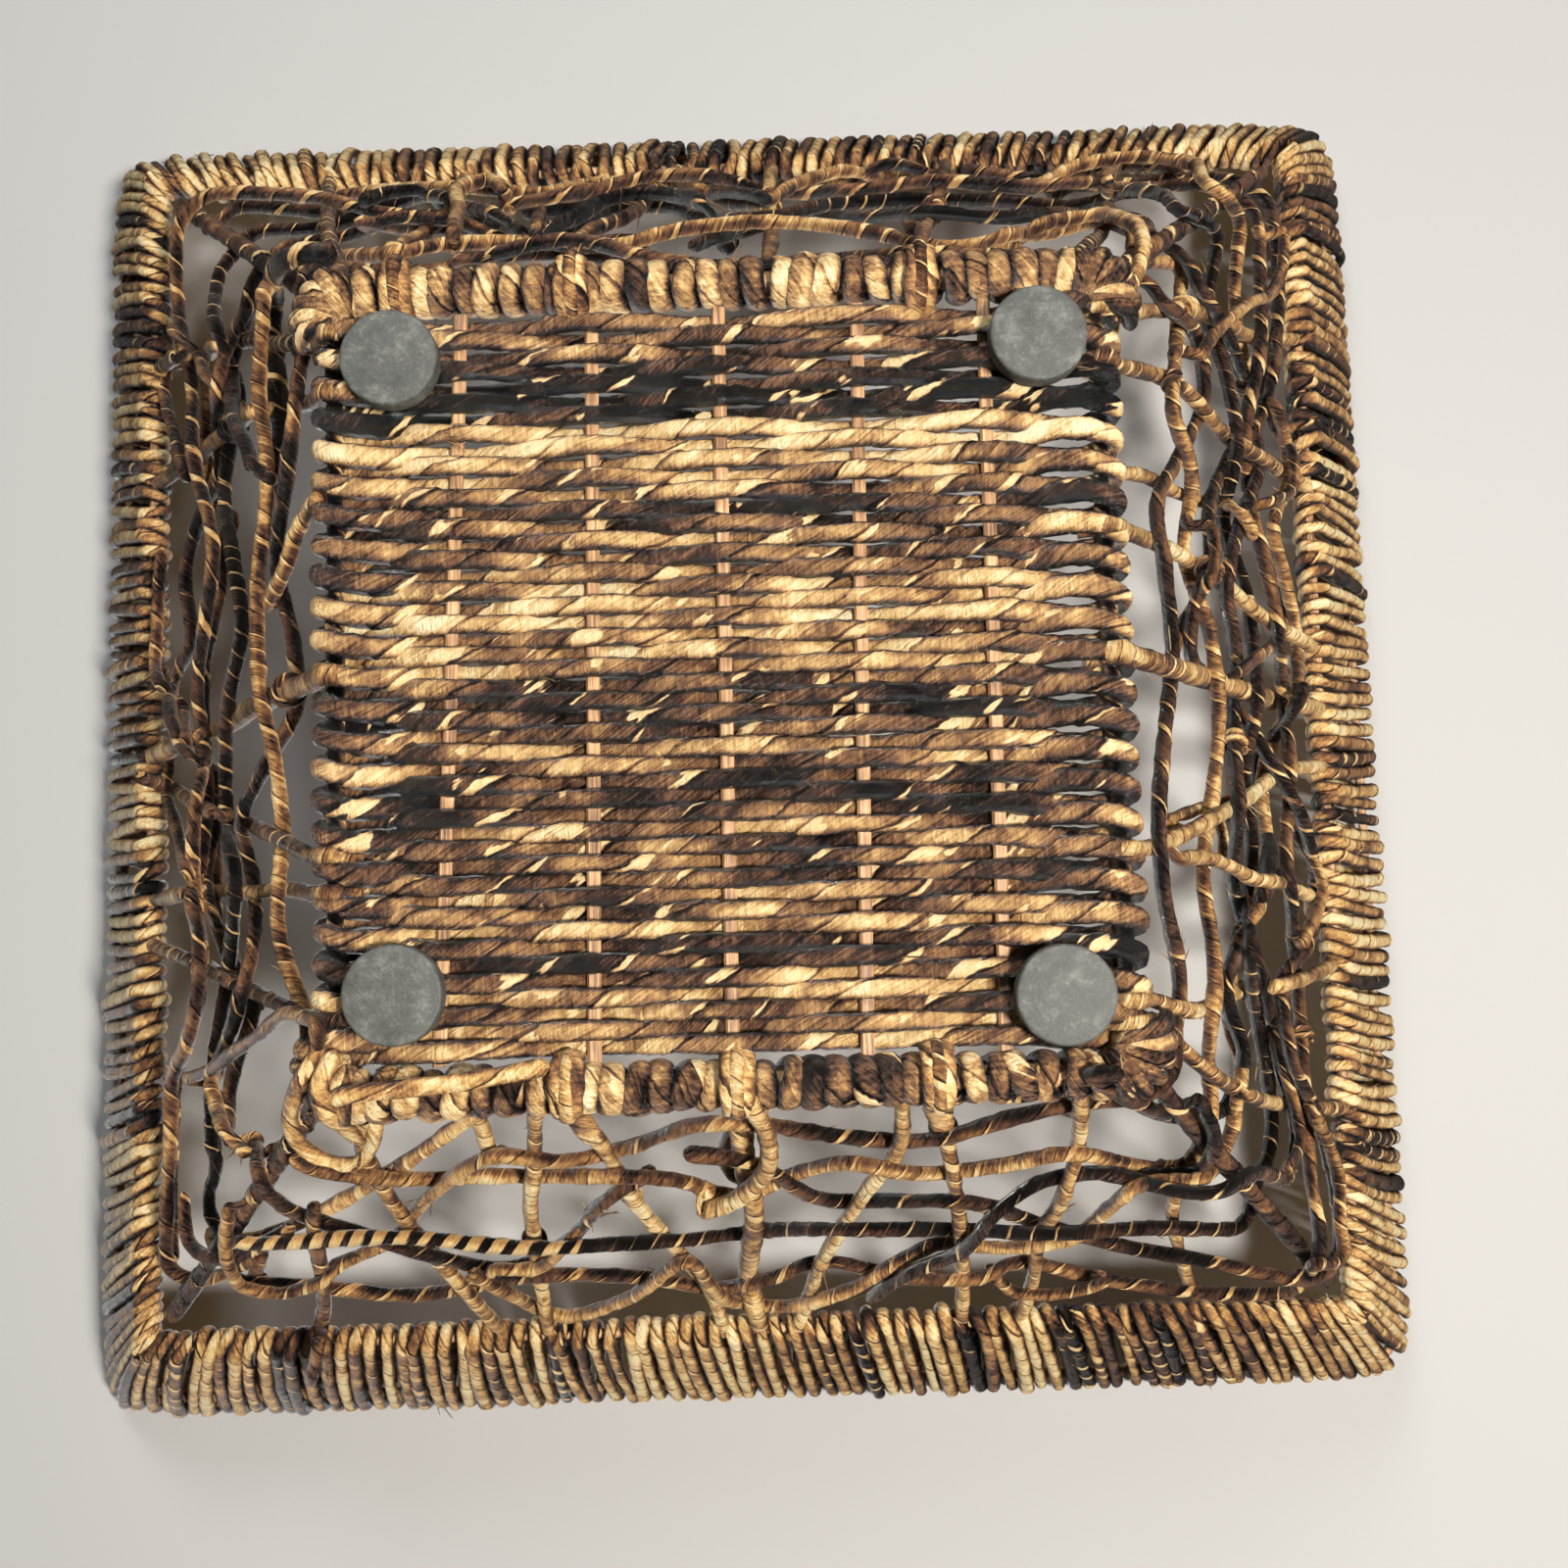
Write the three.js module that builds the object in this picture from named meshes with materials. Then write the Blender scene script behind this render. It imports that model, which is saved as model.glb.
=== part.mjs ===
// A flared square wicker basket: twisted bark rope woven over a rattan frame, on four rubber feet.
// Millimetres, +Z up. The origin is the middle of the footprint, on the surface it stands on.
// The sides are called back (+Y), right (+X), front (-Y) and left (-X).
import * as THREE from 'three';

// Rim
const rimWidth = 450;            // square outside of the rim
const rimHeight = 172;           // top of the rim above the table
const bandDrop = 49.4;           // upper hoop down to lower hoop
const bandInset = 28.6;          // upper hoop in to lower hoop
const hoopDiameter = 4.4;
const bandWrap = 3.6;            // thickness of the rope wound round the two hoops
const cornerEase = 2.4;          // how far the winding is drawn in at the rim's outer corners
const mitreGap = 1.4;            // between two windings where they meet at a corner

// Base
const baseWidth = 207;           // between the middles of the two end bars
const barCoreDiameter = 6;
const barCoreShort = 9;           // how much shorter a bar's core is than the base is wide
const barWrap = 3.1;             // thickness of the bark wound round a bar, with its seat
const barWrapShort = 14;          // how much shorter the bark wound round a bar is
const slatWidth = 3.5;
const slatThickness = 2;
const slatEase = 0.6;            // bevel along the edges of a slat
const sideRodDiameter = 3.2;
const sideRodInset = 4.2;        // from the end of a bar in to the side rod
const weaveDiameter = 3.6;       // rope of the base weave
const weaveEdge = 3.2;           // open strip between the last row and a bar
const footDiameter = 25;
const footHeight = 6;
const footEase = 0.8;            // bevel round a foot

// Walls
const postDiameter = 7;
const stakeDiameter = 4.4;
const middleStakeDiameter = 6;
const weaverDiameter = 4.2;
const seat = 0.3;                // clearance where one piece rests on another
const strandGap = 0.45;          // clearance kept between two crossing strands
const ringSpacing = 16;          // between the drawn sections of a strand
const mostLift = 14;             // farthest that a strand is moved off the middle of the wall

// Counts
const bandLoops = 20;            // turns in a rim winding, each standing for four of the rope's own
const barLoops = 18;
const wrapSteps = 6;             // corners in one turn of a winding
const weaveRows = 46;
const strandSides = 4;
const stakeSides = 5;
const settleRounds = 600;

// Shares: how much of its pitch a wound turn fills, inside and outside, how wide it starts,
// how turns fan out, how round the wall's corners are, and how stiff a strand is
const wrapFillShare = 0.93;
const wrapCrestShare = 0.74;
const wrapWedgeShare = 0.1;
const fanPowerShare = 4;
const wallCornerShare = 0.1;
const stiffnessShare = 0.15;

// Worked out from the sizes above. The slats' shares say where each meets the front and back bars.
const seatAngle = Math.PI / wrapSteps;
const bandInner = hoopDiameter / 2 + seat;
const bandOuter = bandInner + bandWrap;
const bandCorner = bandOuter / Math.cos(seatAngle);
const bandLean = Math.atan2(bandInset, bandDrop);
const barHalf = baseWidth / 2;
const barCoreLength = baseWidth - barCoreShort;
const barWrapLength = baseWidth - barWrapShort;
const barRadius = barCoreDiameter / 2 + barWrap;
const weaveRadius = weaveDiameter / 2;
const slatEndShares = [[-0.64, -0.71], [-0.31, -0.335], [0.01, 0], [0.36, 0.325], [0.68, 0.66]];
const slatGap = Math.min(...slatEndShares.slice(1).flatMap((ends, i) => (
  ends.map((end, k) => barHalf * (end - slatEndShares[i][k])))));
const weaveRise = (slatThickness / 2 + seat + weaveRadius) / (1 - slatWidth / slatGap);
const baseLevel = footHeight + seat + weaveRise + weaveRadius * Math.cos(Math.PI / stakeSides);
const sideRodX = barHalf - sideRodInset;

const paint = (color, roughness) => new THREE.MeshStandardMaterial({ color, roughness, metalness: 0 });
const tan = paint(0x8f6a3c, 0.7);
const brown = paint(0x4c3320, 0.6);
const dark = paint(0x231a14, 0.45);
const cream = paint(0xc2a065, 0.75);
const reed = paint(0x9a7145, 0.55);
const rattan = paint(0x7d4a22, 0.5);
const rubber = paint(0x3a3c38, 0.9);

const basket = new THREE.Group();

function add(name, geometry, material) {
  const mesh = new THREE.Mesh(geometry, material);
  mesh.name = name;
  basket.add(mesh);
}

// Rings of equal count become one closed skin, with flat ends unless it closes on itself.
function skin(rings, closed = false) {
  const sides = rings[0].length;
  const position = rings.flat().flatMap((p) => [p.x, p.y, p.z]);
  const index = [];
  const spans = closed ? rings.length : rings.length - 1;
  for (let i = 0; i < spans; i += 1) {
    const here = i * sides;
    const next = ((i + 1) % rings.length) * sides;
    for (let j = 0; j < sides; j += 1) {
      const k = (j + 1) % sides;
      index.push(here + j, here + k, next + k, here + j, next + k, next + j);
    }
  }
  if (!closed) {
    const last = (rings.length - 1) * sides;
    for (let j = 1; j < sides - 1; j += 1) {
      index.push(0, j + 1, j, last, last + j, last + j + 1);
    }
  }
  const geometry = new THREE.BufferGeometry();
  geometry.setAttribute('position', new THREE.Float32BufferAttribute(position, 3));
  geometry.setIndex(volume(position, index) < 0 ? index.reverse() : index);
  return geometry;
}

function volume(position, index) {
  const at = (i) => new THREE.Vector3().fromArray(position, 3 * i);
  let sum = 0;
  for (let i = 0; i < index.length; i += 3) {
    sum += at(index[i]).dot(at(index[i + 1]).cross(at(index[i + 2])));
  }
  return sum;
}

// A point in plan on one of the four sides: how far along it, and how far out from the middle.
const alongDirs = [[1, 0], [0, -1], [-1, 0], [0, 1]];
const outDirs = [[0, 1], [1, 0], [0, -1], [-1, 0]];

function onSide(side, along, out, z) {
  const [ax, ay] = alongDirs[side];
  const [ox, oy] = outDirs[side];
  return new THREE.Vector3(along * ax + out * ox, along * ay + out * oy, z);
}

// The corners of one turn: half of them round one rod, the other half round the other.
function turnCorner(step, radius, low, high, lean) {
  const half = wrapSteps / 2;
  const upper = step < half;
  const tip = upper ? lean : lean + Math.PI;
  const angle = tip + ((step % half) - (half - 1) / 2) * 2 * seatAngle;
  const rod = upper ? high : low;
  return { out: rod.out + radius * Math.sin(angle), z: rod.z + radius * Math.cos(angle) };
}

// The four places along a rod that bound a wound strip at one of its steps: its inner edges, then
// its outer ones. It starts and ends as a narrow wedge, which closes the winding up to both ends.
function stripEdges(step, reach, loops) {
  const pitch = 2 * reach / (loops + 2 * wrapWedgeShare - wrapFillShare);
  const right = -reach + pitch * (wrapWedgeShare + step / wrapSteps);
  const edges = [Math.max(-reach, right - pitch * wrapFillShare), Math.min(reach, right)];
  const inset = (edges[1] - edges[0]) * (1 - wrapCrestShare) / 2;
  return [...edges, edges[1] - inset, edges[0] + inset];
}

// The least distance from a winding to its own next turn, measured on points of its edges.
function leastTurnGap(rings) {
  const gridShares = [0, 0.25, 0.5, 0.75];
  const points = rings.slice(0, -1).map((ring, i) => ring.flatMap((corner, j) => (
    gridShares.map((share) => corner.clone().lerp(rings[i + 1][j], share)))));
  let least = Infinity;
  for (let i = 0; i + wrapSteps < points.length; i += 1) {
    for (let j = i + wrapSteps - 1; j <= i + wrapSteps + 1 && j < points.length; j += 1) {
      for (const p of points[i]) {
        for (const q of points[j]) least = Math.min(least, p.distanceTo(q));
      }
    }
  }
  return least;
}

// The two hoops inside the rim band
const highRod = {
  out: rimWidth / 2 - bandCorner * Math.max(...turnSpread('sin')),
  z: rimHeight - bandCorner * Math.max(...turnSpread('cos')),
};
const lowRod = { out: highRod.out - bandInset, z: highRod.z - bandDrop };

function turnSpread(part) {
  return [-1, 0, 1].map((k) => Math[part](bandLean + k * 2 * seatAngle));
}

function hoop(rod) {
  const rings = outDirs.map((unused, side) => (
    Array.from({ length: wrapSteps }, (none, j) => {
      const angle = j * 2 * seatAngle;
      const out = rod.out + (hoopDiameter / 2) * Math.cos(angle);
      return onSide(side, out, out, rod.z + (hoopDiameter / 2) * Math.sin(angle));
    })));
  return skin(rings, true);
}

// One winding of the rim band, from corner to corner. A turn stands square to the side in the
// middle and fans out towards the corners, where the outside is drawn in to round them.
function bandWinding(side) {
  const reach = 1 - mitreGap / lowRod.out;
  const place = (share, step, outer) => {
    const radius = (outer ? bandOuter : bandInner) / Math.cos(seatAngle);
    const { out, z } = turnCorner(step, radius, lowRod, highRod, bandLean);
    const fan = Math.sign(share) * Math.abs(share) ** fanPowerShare;
    const along = share * highRod.out + (out - highRod.out) * fan;
    const ease = outer ? cornerEase * Math.abs(share) ** (4 * fanPowerShare) : 0;
    return onSide(side, along - Math.sign(share) * ease, out - ease, z);
  };
  return Array.from({ length: bandLoops * wrapSteps + 1 }, (none, step) => (
    stripEdges(step, reach, bandLoops).map((share, j) => place(share, step % wrapSteps, j > 1))));
}

// The bark wound round a bar of the base
function barWinding(side) {
  const inner = (barCoreDiameter / 2 + seat) / Math.cos(seatAngle);
  const place = (along, step, radius) => {
    const angle = step * 2 * seatAngle;
    return onSide(side, along, barHalf + radius * Math.cos(angle), baseLevel + radius * Math.sin(angle));
  };
  return Array.from({ length: barLoops * wrapSteps + 1 }, (none, step) => (
    stripEdges(step, barWrapLength / 2, barLoops)
      .map((along, j) => place(along, step, j > 1 ? barRadius : inner))));
}

const railEnd = barHalf - barRadius - seat;

function slatX(slat, y) {
  const [front, back] = slatEndShares[slat];
  return barHalf * THREE.MathUtils.lerp(front, back, (y + railEnd) / (2 * railEnd));
}

function slatRing(slat, y) {
  const x = slatX(slat, y);
  const w = slatWidth / 2;
  const t = slatThickness / 2;
  const outline = [[w, t - slatEase], [w - slatEase, t], [slatEase - w, t], [-w, t - slatEase],
    [-w, slatEase - t], [slatEase - w, -t], [w - slatEase, -t], [w, slatEase - t]];
  return outline.map(([dx, dz]) => new THREE.Vector3(x + dx, y, baseLevel + dz));
}

// The base weave: one rope that runs to and fro over and under the slats, and round the side rods
function baseWeave() {
  const half = railEnd - weaveEdge - weaveRadius;
  const pitch = 2 * half / (weaveRows - 1);
  const turnRadius = sideRodDiameter / 2 + seat + weaveRadius;
  const turnAngles = [100, 33, -33, -100].map(THREE.MathUtils.degToRad);
  const turnReach = turnRadius / Math.cos((turnAngles[0] - turnAngles[1]) / 2);
  const centres = [];
  const turn = (row, angles) => {
    const out = row % 2 ? -1 : 1;
    const up = (slatEndShares.length + row) % 2 && out > 0 ? -1 : 1;
    angles.forEach((angle) => {
      const share = (turnAngles[0] - angle) / (turnAngles[0] - turnAngles[3]);
      centres.push(new THREE.Vector3(out * (sideRodX + turnReach * Math.cos(angle)),
        -half + pitch * (row + share), baseLevel + up * turnReach * Math.sin(angle)));
    });
  };
  const order = slatEndShares.map((ends, slat) => slat);
  turn(-1, turnAngles.slice(3));
  for (let row = 0; row < weaveRows; row += 1) {
    const y = -half + pitch * row;
    const slats = row % 2 ? [...order].reverse() : order;
    slats.forEach((slat) => {
      const up = (slat + row) % 2 ? -1 : 1;
      centres.push(new THREE.Vector3(slatX(slat, y), y, baseLevel + up * weaveRise));
    });
    turn(row, row < weaveRows - 1 ? turnAngles : turnAngles.slice(0, 1));
  }
  const across = new THREE.Vector3(0, 1, 0);
  return centres.map((centre, i) => {
    const ahead = centres[Math.min(i + 1, centres.length - 1)];
    const behind = centres[Math.max(i - 1, 0)];
    return ringAt(centre, ahead.clone().sub(behind), across, weaveRadius, stakeSides);
  });
}

// A ring of points round a centre, square to a direction, turned so that one axis lies near a guide
function ringAt(centre, direction, guide, radius, sides) {
  const axis = direction.clone().normalize();
  const first = guide.clone().addScaledVector(axis, -guide.dot(axis)).normalize();
  const second = axis.clone().cross(first);
  return Array.from({ length: sides }, (none, j) => {
    const angle = (j + 0.5) * 2 * Math.PI / sides;
    return centre.clone().addScaledVector(first, radius * Math.cos(angle))
      .addScaledVector(second, radius * Math.sin(angle));
  });
}

// The wall: a sloping square skin with round corners that the strands lie on.
// A place on it is a lap, which counts sides from the middle of the back, and a height share,
// from the base's edge at 0 to the underside of the rim band at 1.
const wallRun = lowRod.out - barHalf;
const wallRise = lowRod.z - baseLevel;
const wallSlant = Math.hypot(wallRun, wallRise);
const wallLength = wallSlant - bandCorner - seat;
const wallOutward = new THREE.Vector2(wallRise / wallSlant, -wallRun / wallSlant);

function wallPlace(lap, share) {
  const side = ((Math.round(lap) % 4) + 4) % 4;
  const t = 2 * (lap - Math.round(lap));
  const reach = barHalf + wallRun * share * wallLength / wallSlant;
  const height = baseLevel + wallRise * share * wallLength / wallSlant;
  const past = Math.max(0, Math.abs(t) - (1 - wallCornerShare)) / wallCornerShare;
  const turn = past * Math.PI / 4;
  const flat = 1 - wallCornerShare;
  const along = past ? Math.sign(t) * (flat + wallCornerShare * Math.sin(turn)) : t;
  const out = flat + wallCornerShare * Math.cos(turn);
  const point = onSide(side, along * reach, out * reach, height);
  const normal = onSide(side, wallOutward.x * Math.sin(turn) * Math.sign(t),
    wallOutward.x * Math.cos(turn), wallOutward.y).normalize();
  return { point, normal };
}

// A strand's route is a list of laps and height shares, joined by a smooth curve
// and cut into sections of about equal length.
function strandPath(route, spacing) {
  const reach = barHalf + wallRun / 2;
  const curve = new THREE.CatmullRomCurve3(
    route.map(([lap, share]) => new THREE.Vector3(lap * 2 * reach, share * wallLength, 0)),
    false,
    'centripetal',
  );
  const count = Math.max(3, Math.round(curve.getLength() / spacing));
  return curve.getSpacedPoints(count).map((p) => [p.x / (2 * reach), p.y / wallLength]);
}

// Stakes, by side: the height shares and the places along the side, from -1 to 1, chosen by hand
const stakeShares = {
  back: [
    [[-0.87, 0], [-0.83, 0.13], [-0.75, 0.28], [-0.63, 0.51], [-0.53, 0.72], [-0.42, 1]],
    [[-0.47, 0], [-0.44, 0.19], [-0.42, 0.41], [-0.39, 0.6], [-0.34, 1]],
    [[-0.38, 0], [-0.29, 0.18], [-0.21, 0.41], [-0.12, 0.65], [-0.07, 0.82], [-0.05, 1]],
    [[0.01, 0], [0.01, 0.26], [0.02, 0.45], [0, 0.75], [0.01, 1]],
    [[0.39, 0], [0.35, 0.18], [0.24, 0.4], [0.14, 0.68], [0.08, 1]],
    [[0.47, 0], [0.45, 0.17], [0.42, 0.43], [0.38, 0.76], [0.35, 1]],
    [[0.81, 0], [0.72, 0.22], [0.61, 0.47], [0.54, 0.62], [0.5, 0.8], [0.45, 1]],
  ],
  right: [
    [[-0.86, 0], [-0.85, 0.21], [-0.82, 0.42], [-0.74, 0.74], [-0.68, 1]],
    [[-0.81, 0], [-0.73, 0.22], [-0.64, 0.38], [-0.54, 0.67], [-0.44, 1]],
    [[-0.45, 0], [-0.32, 0.27], [-0.21, 0.54], [-0.13, 0.77], [-0.1, 1]],
    [[0.02, 0], [0.01, 0.29], [0, 0.6], [0, 1]],
    [[0.33, 0], [0.28, 0.22], [0.22, 0.45], [0.15, 0.7], [0.11, 1]],
    [[0.75, 0], [0.65, 0.29], [0.51, 0.55], [0.44, 0.8], [0.4, 1]],
    [[0.88, 0], [0.84, 0.2], [0.79, 0.42], [0.7, 0.7], [0.66, 1]],
  ],
  front: [
    [[-0.87, 0], [-0.84, 0.28], [-0.8, 0.48], [-0.74, 0.73], [-0.71, 1]],
    [[-0.5, 0], [-0.45, 0.3], [-0.43, 0.6], [-0.4, 1]],
    [[-0.13, 0], [-0.12, 0.28], [-0.1, 0.6], [-0.09, 1]],
    [[0.34, 0], [0.28, 0.36], [0.18, 0.54], [0.12, 0.8], [0.06, 1]],
    [[0.76, 0], [0.71, 0.26], [0.6, 0.48], [0.5, 0.74], [0.46, 1]],
    [[0.87, 0], [0.86, 0.16], [0.79, 0.52], [0.74, 0.76], [0.7, 1]],
  ],
  left: [
    [[-0.87, 0], [-0.82, 0.2], [-0.79, 0.42], [-0.74, 0.62], [-0.67, 1]],
    [[-0.72, 0], [-0.64, 0.33], [-0.56, 0.58], [-0.5, 0.8], [-0.46, 1]],
    [[-0.02, 0], [-0.01, 0.3], [0.01, 0.6], [0.02, 1]],
    [[0.41, 0], [0.31, 0.18], [0.24, 0.36], [0.14, 0.7], [0.07, 1]],
    [[0.5, 0], [0.44, 0.13], [0.38, 0.35], [0.33, 0.55], [0.27, 1]],
    [[0.8, 0], [0.64, 0.24], [0.54, 0.44], [0.43, 0.71], [0.35, 1]],
  ],
};
const middleStakes = ['stake_back_4', 'stake_right_4', 'stake_left_3'];

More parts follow.
